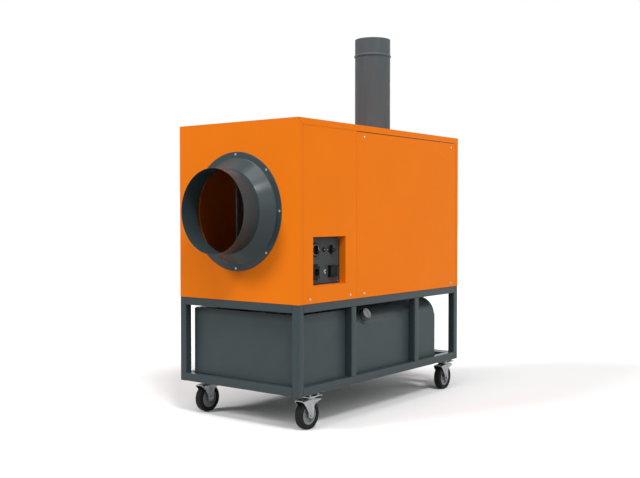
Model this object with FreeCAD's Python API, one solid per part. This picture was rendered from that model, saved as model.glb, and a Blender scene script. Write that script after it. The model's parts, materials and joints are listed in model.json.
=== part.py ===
import FreeCAD, Part
import math
import os

from FreeCAD import Vector

# Indirect-fired diesel heater: a sheet metal casing with a round air outlet at the front, a flue on
# top and a control recess in its right side, on a square tube frame that holds the fuel tank and
# rolls on four swivel castors. Millimetres, Z up from the floor, X to the right, front towards -Y.

# Overall sizes
LENGTH = 1500.0
WIDTH = 780.0
FRAME_HEIGHT = 430.0
CASING_HEIGHT = 870.0

# Clearances
RUN_FIT = 0.05        # radial, shaft in its bore
FACE_GAP = 0.25       # between flat faces that turn on each other
SEAT_GAP = 0.2        # between round pieces that are held together
EDGE_GAP = 1.5        # open seam between two panels

# Frame
TUBE = 40.0
TUBE_WALL = 3.0
FIRST_POST = 444.0    # front of the frame to the middle of the first middle post
SECOND_POST = 458.0   # rear of the frame to the middle of the second middle post

# Castor wheel
WHEEL_DIAMETER = 140.0
WHEEL_WIDTH = 40.0
TREAD_CROWN = 7.0     # rise of the tyre's tread over its shoulders
TREAD_WIDTH = 24.0
RIM_RADIUS = 48.0
RIM_WIDTH = 30.0
AXLE_RADIUS = 5.0
AXLE_HEX = 17.0
AXLE_HEAD = 6.4

# Castor fork and top plate
TRAIL = 14.0          # axle ahead of the kingpin as parked
FORK_SHEET = 4.0
FORK_SIDE_GAP = 4.0   # tyre to fork leg
WHEEL_HEADROOM = 12.75
CROWN_LENGTH = 84.0
CROWN_SKIRT = 12.0
LEG_TIP_RADIUS = 14.0
LEG_WAIST = 8.0       # how much wider than its tip a leg is at half height
LEG_RIB_WIDTH = 7.0
LEG_RIB_HEIGHT = 2.0
KINGPIN_RADIUS = 14.0
KINGPIN_NUT = 7.0
KINGPIN_HEX = 36.0
PLATE = 5.0
PLATE_LENGTH = 105.0
PLATE_WIDTH = 85.0
BOLT_SPACING_LONG = 62.0
BOLT_SPACING_WIDE = 60.0
CASTOR_NUT = 13.0
STANDOFF = 8.0
PAD = 6.0
CASTOR_SIDE_INSET = 58.0
CASTOR_FRONT_INSET = 150.0
CASTOR_REAR_INSET = 61.0
FRONT_YAW = -1.0      # degrees, how the castors stand as parked
REAR_YAW = 2.0

# Casing sheets
SHEET = 2.0
FRONT_RETURN = 33.0
REAR_RETURN = 23.0
LID_FLANGE = 31.0
JAMB = 30.0           # strip of the rear post that shows between access panel and rear panel
PANEL_SEAM = 465.0    # front of the casing to the seam of the two right panels
POST_FLANGE = 50.0
POST_WEB = 25.0
POST_LAP = 12.0       # rear post behind the rear panel's return
TOP_STRIP = 68.0
BOTTOM_STRIP = 40.0

# Outlet
FLANGE_RADIUS = 290.0
FLANGE_SHEET = 3.0
CONE_BASE_RADIUS = 258.0
CONE_LENGTH = 61.0
COLLAR_RADIUS = 206.0
COLLAR_LENGTH = 107.0
OUTLET_SHEET = 2.0
OUTLET_HOLE_MARGIN = 6.0

# Flue
FLUE_RADIUS = 103.0
FLUE_SHEET = 2.0
FLUE_FROM_REAR = 323.0
FLUE_RISE = 573.0
BEAD_BELOW_TOP = 97.0
BEAD_WIDTH = 18.0
BEAD_RISE = 6.0
FLUE_PLATE = 290.0
FLUE_PLATE_SHEET = 4.0
LID_HOLE_MARGIN = 10.0

# Heat exchanger
DIVIDER_AT = 420.0      # front of the casing to the divider
DIVIDER_BORDER = 58.0
DIVIDER_LIP = 15.0
BOX_SHEET = 3.0
BOX_WIDTH = 400.0
TURN_BOX_GAP = 70.0
TURN_BOX_LENGTH = 80.0
SMOKE_BOX_LENGTH = 218.0
SMOKE_BOX_TOP = 720.0   # above the casing's underside
CHAMBER_RADIUS = 180.0  # axis of the drum to one of its flat sides
CHAMBER_SIDES = 8
CHAMBER_LIFT = 40.0
CHAMBER_PAST_FLUE = 53.0
FIRE_WAY = 220.0        # side of the square way from the drum to the turning box
DUCTS = 4
DUCT_WIDTH = 60.0
DUCT_PITCH = 100.0
DUCT_BORDER = 20.0
SMOKE_BOX_GAP = 5.0
SADDLE_SHEET = 5.0
SADDLE_WIDTH = 300.0
SADDLE_DROP = 60.0      # top of a saddle below the chamber's axis
SADDLE_INSET = 140.0

# Burner
BLAST_RADIUS = 55.0
BLAST_LENGTH = 110.0
BLAST_GAP = 2.0
BURNER_FLANGE_SIDE = 160.0
BURNER_FLANGE = 6.0
BURNER_WIDTH = 190.0
BURNER_LENGTH = 180.0
BURNER_HEIGHT = 220.0
BURNER_ROUND = 18.0
BURNER_MOTOR_RADIUS = 48.0
BURNER_MOTOR_LENGTH = 110.0
BURNER_MOTOR_BACK = 95.0
PUMP_LENGTH = 60.0
PUMP_SIDE = 56.0
PUMP_BACK = 30.0
PUMP_DROP = 20.0
UNION_HEX = 19.0
UNION_HEIGHT = 12.0

# Fan and intake
BULKHEAD_HEIGHT = 516.0
FAN_BELOW_LID = 285.0
FAN_RADIUS = 200.0
FAN_TIP_GAP = 5.0
FAN_STANDS_OUT = 30.0  # fan hub ahead of the bulkhead
FAN_BLADES = 6
FAN_HUB_RADIUS = 70.0
FAN_HUB_LENGTH = 50.0
BLADE_SHEET = 4.0
BLADE_CHORD = 80.0
BLADE_ANGLE = 30.0
FAN_SHAFT_RADIUS = 8.0
FAN_SHAFT_DEPTH = 40.0
FAN_SHAFT_GAP = 4.0
FAN_MOTOR_RADIUS = 50.0
FAN_MOTOR_LENGTH = 85.0
FAN_HUB_GAP = 8.0
FAN_BAR = 4.0
FAN_BAR_HEIGHT = 44.0
FAN_FOOT = 20.0
FAN_FOOT_GAP = 60.0     # fan ring to the outer face of a bracket foot
INTAKE_WIDTH = 560.0
INTAKE_HEIGHT = 420.0
INTAKE_BORDER = 20.0
INTAKE_DEPTH = 28.0
LOUVRES = 10
LOUVRE_SHEET = 2.0
LOUVRE_OVERLAP = 4.0
LOUVRE_SETBACK = 8.0    # louvres behind the rear panel

# Fuel tank and filler
TANK_SIDE_GAP = 41.0
TANK_FRONT_GAP = 50.0
TANK_REAR_GAP = 195.0
TANK_HEAD_GAP = 16.0
TANK_STEP = 452.0       # front of the frame to the end of the tank's square front
TANK_ROUND = 20.0
TANK_SHOULDER = 98.0
TANK_WALL = 5.0
FILLER_AT = 585.0       # front of the frame to the filler
FILLER_TILT = 30.0      # degrees above level
FILLER_BOSS_RADIUS = 35.0
FILLER_BOSS = 6.0
NECK_RADIUS = 22.0
NECK_WALL = 3.0
NECK_HEIGHT = 28.0
CAP_RADIUS = 29.0
CAP_TOP = 5.0
CAP_GAP = 1.5           # cap skirt to neck
CAP_LIFT = 5.0          # cap skirt above the tank's boss
SEAL = 2.5
SEAL_GAP = 0.1
PIPE_RADIUS = 5.0
PIPE_HEX = 32.0
PIPE_FOOT = 10.0
PIPE_HOLE_GAP = 7.0

# Control recess
RECESS_AT = 110.0       # front of the casing to the recess
RECESS_UP = 83.0        # above the casing's underside
RECESS_LENGTH = 260.0
RECESS_HEIGHT = 231.0
RECESS_DEPTH = 42.0
RECESS_FLANGE = 12.0
CONTROL_PLATE = 3.0
UPPER_ROW = 168.0       # above the recess floor
LOWER_ROW = 61.0
SWITCH_AT = 64.0        # along the recess from its front wall
TOGGLE_AT = 133.0
THERMOSTAT_AT = 190.0
INLET_AT = 50.0
RESET_AT = 144.0
SOCKET_AT = 197.0

# Control pieces
SWITCH_RING_RADIUS = 34.0
SWITCH_RING_WIDTH = 9.0
SWITCH_RING_HEIGHT = 6.0
SWITCH_KNOB_GAP = 1.5
SWITCH_KNOB_HEIGHT = 22.0
SWITCH_BASE = 8.0
SWITCH_GRIP = 12.0
THERMOSTAT_RADIUS = 23.0
THERMOSTAT_TOP_RADIUS = 17.0
THERMOSTAT_SKIRT = 4.0
THERMOSTAT_HEIGHT = 20.0
TOGGLE_HEX = 18.0
TOGGLE_NUT = 5.0
PIVOT_RADIUS = 3.4
PIVOT_LENGTH = 7.0
LEVER = 3.0
LEVER_TIP = 5.0
LEVER_LENGTH = 22.0
RESET_HEX = 16.0
RESET_NUT = 4.0
RESET_RADIUS = 5.3
RESET_GAP = 0.3
RESET_HEIGHT = 7.0
RESET_TRAVEL = 2.5
INLET_FLANGE_LENGTH = 62.0
INLET_FLANGE_HEIGHT = 76.0
INLET_FLANGE = 4.0
INLET_LENGTH = 46.0
INLET_HEIGHT = 58.0
INLET_DEPTH = 22.0
INLET_BORE_RADIUS = 18.0
INLET_BORE_DEPTH = 15.0
INLET_PINS = 3
INLET_PIN = 2.0
INLET_PIN_HEIGHT = 8.0
INLET_PIN_PITCH = 8.0
INLET_PIN_LENGTH = 11.0
SOCKET_LENGTH = 60.0
SOCKET_HEIGHT = 58.0
SOCKET_DEPTH = 12.0
SOCKET_LID = 5.0
SOCKET_LID_BORDER = 3.0
SOCKET_BARREL_RADIUS = 4.0
SOCKET_EAR = 8.0
SOCKET_POCKET = 32.0
SOCKET_POCKET_DEPTH = 9.0

# Levels and places worked out from the sizes above
AXLE_Z = WHEEL_DIAMETER / 2
CROWN_LOW = WHEEL_DIAMETER + WHEEL_HEADROOM
CROWN_TOP = CROWN_LOW + FORK_SHEET
PLATE_LOW = CROWN_TOP + FACE_GAP
PLATE_TOP = PLATE_LOW + PLATE
PAD_LOW = PLATE_TOP + STANDOFF
FRAME_Z = PAD_LOW + PAD
RAIL_TOP = FRAME_Z + TUBE
CASING_Z = FRAME_Z + FRAME_HEIGHT
TOP_Z = CASING_Z + CASING_HEIGHT
LID_LOW = TOP_Z - SHEET
FLOOR_Z = CASING_Z + SHEET
PANEL_TOP = TOP_Z - LID_FLANGE - EDGE_GAP
SIDE = WIDTH / 2
INNER_SIDE = SIDE - SHEET
POST_FACE = INNER_SIDE - SHEET
OUTLET_REACH = CONE_LENGTH + COLLAR_LENGTH
FRONT = OUTLET_REACH - (OUTLET_REACH + LENGTH) / 2
REAR = FRONT + LENGTH
OUTLET_Z = CASING_Z + CASING_HEIGHT / 2
FLUE_Y = REAR - FLUE_FROM_REAR
JAMB_Y = REAR - REAR_RETURN - JAMB
SEAM_Y = FRONT + PANEL_SEAM
DIVIDER_Y = FRONT + DIVIDER_AT
CHAMBER_Z = FLOOR_Z + CHAMBER_LIFT + CHAMBER_RADIUS
TURN_BOX_Y = DIVIDER_Y + TURN_BOX_GAP
CHAMBER_FRONT = TURN_BOX_Y + TURN_BOX_LENGTH
CHAMBER_REAR = FLUE_Y + CHAMBER_PAST_FLUE
SMOKE_TOP = CASING_Z + SMOKE_BOX_TOP
SMOKE_LOW = CHAMBER_Z + CHAMBER_RADIUS + SMOKE_BOX_GAP
SMOKE_FRONT = FLUE_Y - SMOKE_BOX_LENGTH / 2
BURNER_FRONT = CHAMBER_REAR + BURNER_FLANGE
PUMP_Y = BURNER_FRONT + PUMP_BACK
PUMP_X = -BURNER_WIDTH / 2 - PUMP_LENGTH / 2
UNION_LOW = CHAMBER_Z - PUMP_DROP - PUMP_SIDE / 2 - UNION_HEIGHT
BULKHEAD_Y = JAMB_Y - POST_FLANGE / 2
FAN_Z = TOP_Z - FAN_BELOW_LID
FAN_RING_RADIUS = FAN_RADIUS + FAN_TIP_GAP
FAN_HUB_FRONT = BULKHEAD_Y - FAN_STANDS_OUT
FAN_BAR_REAR = FAN_HUB_FRONT - FAN_HUB_GAP
FAN_MOTOR_REAR = FAN_BAR_REAR - FAN_BAR
TANK_SIDE = SIDE - TANK_SIDE_GAP
TANK_TOP = FRAME_Z + FRAME_HEIGHT - TUBE - TANK_HEAD_GAP
RECESS_Y = FRONT + RECESS_AT
RECESS_Z = CASING_Z + RECESS_UP
PLATE_FACE = SIDE - RECESS_DEPTH + CONTROL_PLATE
EDGE_SLANT = 5.0        # degrees, most that an edge leans from the axis it runs along
X_AXIS = Vector(1, 0, 0)
Y_AXIS = Vector(0, 1, 0)
Z_AXIS = Vector(0, 0, 1)


def box(low, high):
    """Block between two corners."""
    low, high = Vector(*low), Vector(*high)
    size = high - low
    return Part.makeBox(size.x, size.y, size.z, low)


def prism(points, along):
    """Closed outline of corner points, pushed along a vector."""
    corners = [Vector(*p) for p in points]
    return Part.Face(Part.makePolygon(corners + corners[:1])).extrude(Vector(*along))


def revolved(profile, base, axis):
    """Closed (radius, height) outline turned about an axis through base."""
    corners = [Vector(r, 0, h) for r, h in profile]
    face = Part.Face(Part.makePolygon(corners + corners[:1]))
    return stand(face.revolve(Vector(), Z_AXIS, 360), base, axis)


def stand(shape, base, axis):
    """The shape, made about the Z axis, moved so that Z runs along axis from base."""
    shape.Placement = FreeCAD.Placement(Vector(*base), FreeCAD.Rotation(Z_AXIS, axis))
    return shape


def rod(radius, length, base, axis):
    return Part.makeCylinder(radius, length, Vector(*base), axis)


def pipe(radius, wall, length, base, axis):
    return rod(radius, length, base, axis).cut(rod(radius - wall, length, base, axis))


def polygon(sides, across, height, base, axis):
    """Prism with a number of equal sides, standing on base with a side flat towards its own Y."""
    corner = across / 2 / math.cos(math.pi / sides)
    angles = [math.pi * (2 * k + 1) / sides + math.pi / 2 for k in range(sides)]
    points = [(corner * math.cos(a), corner * math.sin(a), 0) for a in angles]
    return stand(prism(points, (0, 0, height)), base, axis)


def hexagon(across, height, base, axis):
    """Six-sided head or nut standing on base."""
    return polygon(6, across, height, base, axis)


def edges_along(shape, axis):
    """Straight edges of a shape that run along an axis."""
    least = math.cos(math.radians(EDGE_SLANT))
    return [e for e in shape.Edges if abs(e.tangentAt(e.FirstParameter).dot(axis)) > least]


def mirrored(shape):
    """The shape on the other side of the middle plane."""
    return shape.mirror(Vector(), X_AXIS)


def both_sides(shape):
    return [shape, mirrored(shape)]


def write(node, *pieces):
    """Save the separate solids of one node."""
    Part.makeCompound(list(pieces)).exportStep(f"parts/{node}.step")


# Frame


def square_tube(start, length, axis):
    """Box section from its low corner along axis."""
    outer_size = Vector(TUBE, TUBE, TUBE) + axis * (length - TUBE)
    inset = (Vector(1, 1, 1) - axis) * TUBE_WALL
    bore_size = outer_size - inset * 2
    outer = Part.makeBox(outer_size.x, outer_size.y, outer_size.z, start)
    return outer.cut(Part.makeBox(bore_size.x, bore_size.y, bore_size.z, start + inset))


def frame_levels():
    """Underside of the lower and of the upper rails."""
    return FRAME_Z, CASING_Z - TUBE


def make_frame():
    long_rails = []
    cross_rails = []
    for z in frame_levels():
        rail = square_tube(Vector(SIDE - TUBE, FRONT + TUBE, z), LENGTH - 2 * TUBE, Y_AXIS)
        long_rails += both_sides(rail)
        for y in (FRONT, REAR - TUBE):
            start = Vector(TUBE - SIDE, y, z)
            cross_rails.append(square_tube(start, WIDTH - 2 * TUBE, X_AXIS))
    corner_posts = []
    for y in (FRONT, REAR - TUBE):
        corner_posts += both_sides(square_tube(Vector(SIDE - TUBE, y, FRAME_Z), FRAME_HEIGHT, Z_AXIS))
    middle_posts = []
    for y in (FRONT + FIRST_POST, REAR - SECOND_POST):
        start = Vector(SIDE - TUBE, y - TUBE / 2, RAIL_TOP)
        middle_posts += both_sides(square_tube(start, FRAME_HEIGHT - 2 * TUBE, Z_AXIS))
    bearers = []
    castor_lines = [FRONT + CASTOR_FRONT_INSET, REAR - CASTOR_REAR_INSET]
    tank_lines = [FRONT + FIRST_POST, REAR - SECOND_POST]
    for y in castor_lines + tank_lines:
        start = Vector(TUBE - SIDE, y - TUBE / 2, FRAME_Z)
        bearers.append(square_tube(start, WIDTH - 2 * TUBE, X_AXIS))
    write("frame_long_rails", *long_rails)
    write("frame_cross_rails", *cross_rails)
    write("frame_posts", *corner_posts, *middle_posts)
    write("frame_bearers", *bearers)


# Castors


def castor_places():
    """Name, kingpin place and parked angle of each castor."""
    places = {}
    for end, y, yaw in (
        ("front", FRONT + CASTOR_FRONT_INSET, FRONT_YAW),
        ("rear", REAR - CASTOR_REAR_INSET, REAR_YAW),
    ):
        for side, sign in (("left", -1), ("right", 1)):
            places[f"{end}_{side}"] = (Vector(sign * (SIDE - CASTOR_SIDE_INSET), y, 0), yaw)
    return places


def parked(shape, place, yaw):
    """A castor piece, made about the kingpin, put at its place on the frame."""
    shape.rotate(Vector(), Z_AXIS, yaw)
    shape.translate(place)
    return shape


def flat_plate(thickness, low_z):
    half_x, half_y = PLATE_WIDTH / 2, PLATE_LENGTH / 2
    return box((-half_x, -half_y, low_z), (half_x, half_y, low_z + thickness))


def castor_bolt_places():
    half_wide = BOLT_SPACING_WIDE / 2
    half_long = BOLT_SPACING_LONG / 2
    return [(sx * half_wide, sy * half_long) for sx in (-1, 1) for sy in (-1, 1)]


def castor_plate():
    """Top plate with the kingpin that the fork swivels on, and the nut under the fork's crown."""
    nut_top = CROWN_LOW - FACE_GAP
    nut_low = nut_top - KINGPIN_NUT
    plate = flat_plate(PLATE, PLATE_LOW)
    pin = rod(KINGPIN_RADIUS, PLATE_LOW - nut_low, (0, 0, nut_low), Z_AXIS)
    nut = hexagon(KINGPIN_HEX, KINGPIN_NUT, (0, 0, nut_low), Z_AXIS)
    return plate.fuse(pin).fuse(nut).removeSplitter()


def fork():
    """Pressed fork: a folded channel trimmed to a crown with two tapering legs."""
    half = WHEEL_WIDTH / 2 + FORK_SIDE_GAP + FORK_SHEET
    inner = half - FORK_SHEET
    half_crown = CROWN_LENGTH / 2
    low = AXLE_Z - LEG_TIP_RADIUS
    reach = half_crown + TRAIL + LEG_TIP_RADIUS
    channel = box((-half, -reach, low), (half, reach, CROWN_TOP))
    channel = channel.cut(box((-inner, -reach, low), (inner, reach, CROWN_LOW)))
    skirt = CROWN_TOP - CROWN_SKIRT
    outline = [
        (-half_crown, CROWN_TOP),
        (half_crown, CROWN_TOP),
        (half_crown, skirt),
        (LEG_TIP_RADIUS + LEG_WAIST - TRAIL, (skirt + AXLE_Z) / 2),
        (LEG_TIP_RADIUS - TRAIL, AXLE_Z),
        (LEG_TIP_RADIUS / 2 - TRAIL, low),
        (-LEG_TIP_RADIUS / 2 - TRAIL, low),
        (-LEG_TIP_RADIUS - TRAIL, AXLE_Z),
        (-half_crown, skirt),
    ]
    body = channel.common(prism([(-half, y, z) for y, z in outline], (2 * half, 0, 0)))
    for rib in both_sides(leg_rib(half, skirt)):
        body = body.fuse(rib)
    body = body.cut(rod(KINGPIN_RADIUS + RUN_FIT, FORK_SHEET, (0, 0, CROWN_LOW), Z_AXIS))
    return body.fuse(axle_bolt(half)).removeSplitter()


def leg_rib(half, skirt):
    """Stiffening rib pressed into a fork leg, running down towards the axle."""
    foot_z = AXLE_Z + LEG_TIP_RADIUS
    share = (skirt - foot_z) / (skirt - AXLE_Z)
    foot_y = -TRAIL * share
    wide = LEG_RIB_WIDTH / 2
    outline = [(-wide, skirt), (wide, skirt), (foot_y + wide, foot_z), (foot_y - wide, foot_z)]
    return prism([(half, y, z) for y, z in outline], (LEG_RIB_HEIGHT, 0, 0))


def axle_bolt(half):
    """Axle bolt drawn up on the fork legs by its head and nut, with a spacer nut beside the wheel."""
    bolt = rod(AXLE_RADIUS, 2 * half, (-half, -TRAIL, AXLE_Z), X_AXIS)
    spacer = half - FORK_SHEET - RIM_WIDTH / 2 - FACE_GAP
    for sign in (-1, 1):
        head = hexagon(AXLE_HEX, AXLE_HEAD, (sign * half, -TRAIL, AXLE_Z), X_AXIS * sign)
        inner_face = sign * (half - FORK_SHEET)
        nut = hexagon(AXLE_HEX, spacer, (inner_face, -TRAIL, AXLE_Z), X_AXIS * -sign)
        bolt = bolt.fuse(head).fuse(nut)
    return bolt


def wheel_rim():
    """Disc of the wheel with the bore for its axle."""
    start = (-RIM_WIDTH / 2, -TRAIL, AXLE_Z)
    return pipe(RIM_RADIUS, RIM_RADIUS - AXLE_RADIUS - RUN_FIT, RIM_WIDTH, start, X_AXIS)


def tyre():
    """Rubber ring with flat side walls and bevelled shoulders."""
    seat = RIM_RADIUS + SEAT_GAP
    tread = WHEEL_DIAMETER / 2
    shoulder = tread - TREAD_CROWN
    half_side = [(seat, WHEEL_WIDTH / 2), (shoulder, WHEEL_WIDTH / 2), (tread, TREAD_WIDTH / 2)]
    profile = half_side + [(r, -h) for r, h in reversed(half_side)]
    return revolved(profile, (0, -TRAIL, AXLE_Z), X_AXIS)


def make_castors():
    pads = []
    plates = []
    standoffs = []
    for name, (place, yaw) in castor_places().items():
        pads.append(parked(flat_plate(PAD, PAD_LOW), place, 0))
        plates.append(parked(castor_plate(), place, 0))
        for x, y in castor_bolt_places():
            half = CASTOR_NUT / 2
            standoff = box((x - half, y - half, PLATE_TOP), (x + half, y + half, PAD_LOW))
            standoffs.append(parked(standoff, place, 0))
        write(f"castor_fork_{name}", parked(fork(), place, yaw))
        write(f"wheel_rim_{name}", parked(wheel_rim(), place, yaw))
        write(f"tyre_{name}", parked(tyre(), place, yaw))
    write("castor_pads", *pads)
    write("castor_plates", *plates)
    write("castor_standoffs", *standoffs)


# Casing


def mitre_drop(run, flange_run):
    """How far the mitre between a lid flange and a panel return has dropped after a run."""
    return (LID_FLANGE - SHEET) * run / flange_run


def end_return(end, inward, depth):
    """Side return of an end panel, its top cut to the mitre; end is the panel's outer face."""
    low_run = LID_LOW - EDGE_GAP - mitre_drop(SHEET, depth)
    outline = [
        (end + inward * SHEET, CASING_Z),
        (end + inward * depth, CASING_Z),
        (end + inward * depth, TOP_Z - LID_FLANGE - EDGE_GAP),
        (end + inward * SHEET, low_run),
    ]
    return prism([(INNER_SIDE, y, z) for y, z in outline], (SHEET, 0, 0))


def end_panel(end, inward, depth):
    """Front or rear sheet with its two side returns."""
    low_y, high_y = sorted((end, end + inward * SHEET))
    panel = box((-SIDE, low_y, CASING_Z), (SIDE, high_y, LID_LOW))
    for flange in both_sides(end_return(end, inward, depth)):
        panel = panel.fuse(flange)
    return panel.removeSplitter()


def make_end_panels():
    hole = CONE_BASE_RADIUS - OUTLET_SHEET - OUTLET_HOLE_MARGIN
    front = end_panel(FRONT, 1, FRONT_RETURN)
    front = front.cut(rod(hole, SHEET, (0, FRONT, OUTLET_Z), Y_AXIS))
    rear = end_panel(REAR, -1, REAR_RETURN)
    half_height = INTAKE_HEIGHT / 2
    window = box(
        (-INTAKE_WIDTH / 2, REAR - SHEET, FAN_Z - half_height),
        (INTAKE_WIDTH / 2, REAR, FAN_Z + half_height),
    )
    write("front_panel", front)
    write("rear_panel", rear.cut(window))


def side_sheet(front, rear):
    """Flat side panel between two places along the casing."""
    return box((INNER_SIDE, front, CASING_Z), (SIDE, rear, PANEL_TOP))


def recess_block(margin, inner_x, outer_x):
    """Block of the control recess, grown by a margin on its four sides."""
    return box(
        (inner_x, RECESS_Y - margin, RECESS_Z - margin),
        (outer_x, RECESS_Y + RECESS_LENGTH + margin, RECESS_Z + RECESS_HEIGHT + margin),
    )


def make_side_panels():
    panel_front = FRONT + FRONT_RETURN + EDGE_GAP
    half_seam = EDGE_GAP / 2
    front_panel = side_sheet(panel_front, SEAM_Y - half_seam)
    front_panel = front_panel.cut(recess_block(SHEET + SEAT_GAP, INNER_SIDE, SIDE))
    write("right_front_panel", front_panel)
    write("right_access_panel", side_sheet(SEAM_Y + half_seam, JAMB_Y))
    write("left_side_panel", mirrored(side_sheet(panel_front, JAMB_Y)))


def make_lid():
    sheet = box((-SIDE, FRONT, LID_LOW), (SIDE, REAR, TOP_Z))
    low = TOP_Z - LID_FLANGE
    outline = [
        (FRONT + SHEET, LID_LOW),
        (FRONT + SHEET, LID_LOW - mitre_drop(SHEET, FRONT_RETURN)),
        (FRONT + FRONT_RETURN, low),
        (REAR - REAR_RETURN, low),
        (REAR - SHEET, LID_LOW - mitre_drop(SHEET, REAR_RETURN)),
        (REAR - SHEET, LID_LOW),
    ]
    flange = prism([(INNER_SIDE, y, z) for y, z in outline], (SHEET, 0, 0))
    for piece in both_sides(flange):
        sheet = sheet.fuse(piece)
    hole = rod(FLUE_RADIUS + LID_HOLE_MARGIN, SHEET, (0, FLUE_Y, LID_LOW), Z_AXIS)
    write("top_lid", sheet.cut(hole).removeSplitter())


def make_floor():
    floor = box((-INNER_SIDE, FRONT + SHEET, CASING_Z), (INNER_SIDE, REAR - SHEET, FLOOR_Z))
    half = PIPE_RADIUS + PIPE_HOLE_GAP
    pipe_hole = box(
        (PUMP_X - half, PUMP_Y - half, CASING_Z),
        (PUMP_X + half, PUMP_Y + half, FLOOR_Z),
    )
    write("floor_pan", floor.cut(pipe_hole))


def post(front, rear, web):
    """Folded post: a flange against the side panels and a web into the casing."""
    flange = box((POST_FACE, front, FLOOR_Z), (INNER_SIDE, rear, LID_LOW))
    fold = box((POST_FACE - POST_WEB, web, FLOOR_Z), (POST_FACE, web + SHEET, LID_LOW))
    return flange.fuse(fold)


def make_casing_frame():
    """Posts behind the panel seams, with strips between them at the top and at the bottom."""
    half = POST_FLANGE / 2
    first_rear = FRONT + FRONT_RETURN + half
    spans = [
        (FRONT + FRONT_RETURN - half, first_rear, first_rear - SHEET),
        (SEAM_Y - half, SEAM_Y + half, SEAM_Y - SHEET / 2),
        (BULKHEAD_Y, REAR - REAR_RETURN + POST_LAP, BULKHEAD_Y),
    ]
    pieces = []
    for front, rear, web in spans:
        pieces += both_sides(post(front, rear, web))
    for (_, start, _), (end, _, _) in zip(spans, spans[1:]):
        for low, high in ((FLOOR_Z, FLOOR_Z + BOTTOM_STRIP), (LID_LOW - TOP_STRIP, LID_LOW)):
            pieces += both_sides(box((POST_FACE, start, low), (INNER_SIDE, end, high)))
    write("casing_frame", *pieces)


def make_divider():
    """Frame across the casing between the outlet plenum and the exchanger, lipped round its window."""
    window_side = POST_FACE - DIVIDER_BORDER
    window_low = FLOOR_Z + DIVIDER_BORDER
    window_high = LID_LOW - DIVIDER_BORDER
    plate = box((-POST_FACE, DIVIDER_Y, FLOOR_Z), (POST_FACE, DIVIDER_Y + SHEET, LID_LOW))
    lip = box(
        (-window_side - SHEET, DIVIDER_Y - DIVIDER_LIP, window_low - SHEET),
        (window_side + SHEET, DIVIDER_Y, window_high + SHEET),
    )
    window = box(
        (-window_side, DIVIDER_Y - DIVIDER_LIP, window_low),
        (window_side, DIVIDER_Y + SHEET, window_high),
    )
    write("divider_frame", plate.fuse(lip).cut(window).removeSplitter())


def make_outlet():
    """Spun outlet cone with its flange on the front panel, and the collar that an air hose goes over."""
    bore = COLLAR_RADIUS - OUTLET_SHEET
    profile = [
        (FLANGE_RADIUS, 0),
        (FLANGE_RADIUS, FLANGE_SHEET),
        (CONE_BASE_RADIUS, FLANGE_SHEET),
        (COLLAR_RADIUS, CONE_LENGTH),
        (bore, CONE_LENGTH),
        (CONE_BASE_RADIUS - OUTLET_SHEET, 0),
    ]
    write("outlet_cone", revolved(profile, (0, FRONT, OUTLET_Z), -Y_AXIS))
    start = (0, FRONT - CONE_LENGTH, OUTLET_Z)
    write("outlet_sleeve", pipe(COLLAR_RADIUS, OUTLET_SHEET, COLLAR_LENGTH, start, -Y_AXIS))


# Flue and heat exchanger


def make_flue():
    outer = FLUE_RADIUS
    inner = FLUE_RADIUS - FLUE_SHEET
    top = TOP_Z + FLUE_RISE
    bead = top - BEAD_BELOW_TOP
    half = BEAD_WIDTH / 2
    profile = [
        (inner, SMOKE_TOP),
        (outer, SMOKE_TOP),
        (outer, bead - half),
        (outer + BEAD_RISE, bead),
        (outer, bead + half),
        (outer, top),
        (inner, top),
    ]
    write("flue_pipe", revolved(profile, (0, FLUE_Y, 0), Z_AXIS))
    half = FLUE_PLATE / 2
    plate = box((-half, FLUE_Y - half, TOP_Z), (half, FLUE_Y + half, TOP_Z + FLUE_PLATE_SHEET))
    way = rod(FLUE_RADIUS + SEAT_GAP, FLUE_PLATE_SHEET, (0, FLUE_Y, TOP_Z), Z_AXIS)
    write("flue_collar", plate.cut(way))


def hollow_box(low, high, wall):
    thick = Vector(wall, wall, wall)
    return box(low, high).cut(box(tuple(Vector(*low) + thick), tuple(Vector(*high) - thick)))


def duct_span(wall):
    """Low and high X and Z of each duct, drawn in by a wall."""
    first = -DUCT_PITCH * (DUCTS - 1) / 2
    low = SMOKE_LOW + DUCT_BORDER + wall
    high = SMOKE_TOP - DUCT_BORDER - wall
    half = DUCT_WIDTH / 2 - wall
    centres = [first + DUCT_PITCH * k for k in range(DUCTS)]
    return [(x - half, x + half, low, high) for x in centres]


def duct_blocks(wall, front, rear):
    return [box((x0, front, z0), (x1, rear, z1)) for x0, x1, z0, z1 in duct_span(wall)]


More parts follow.
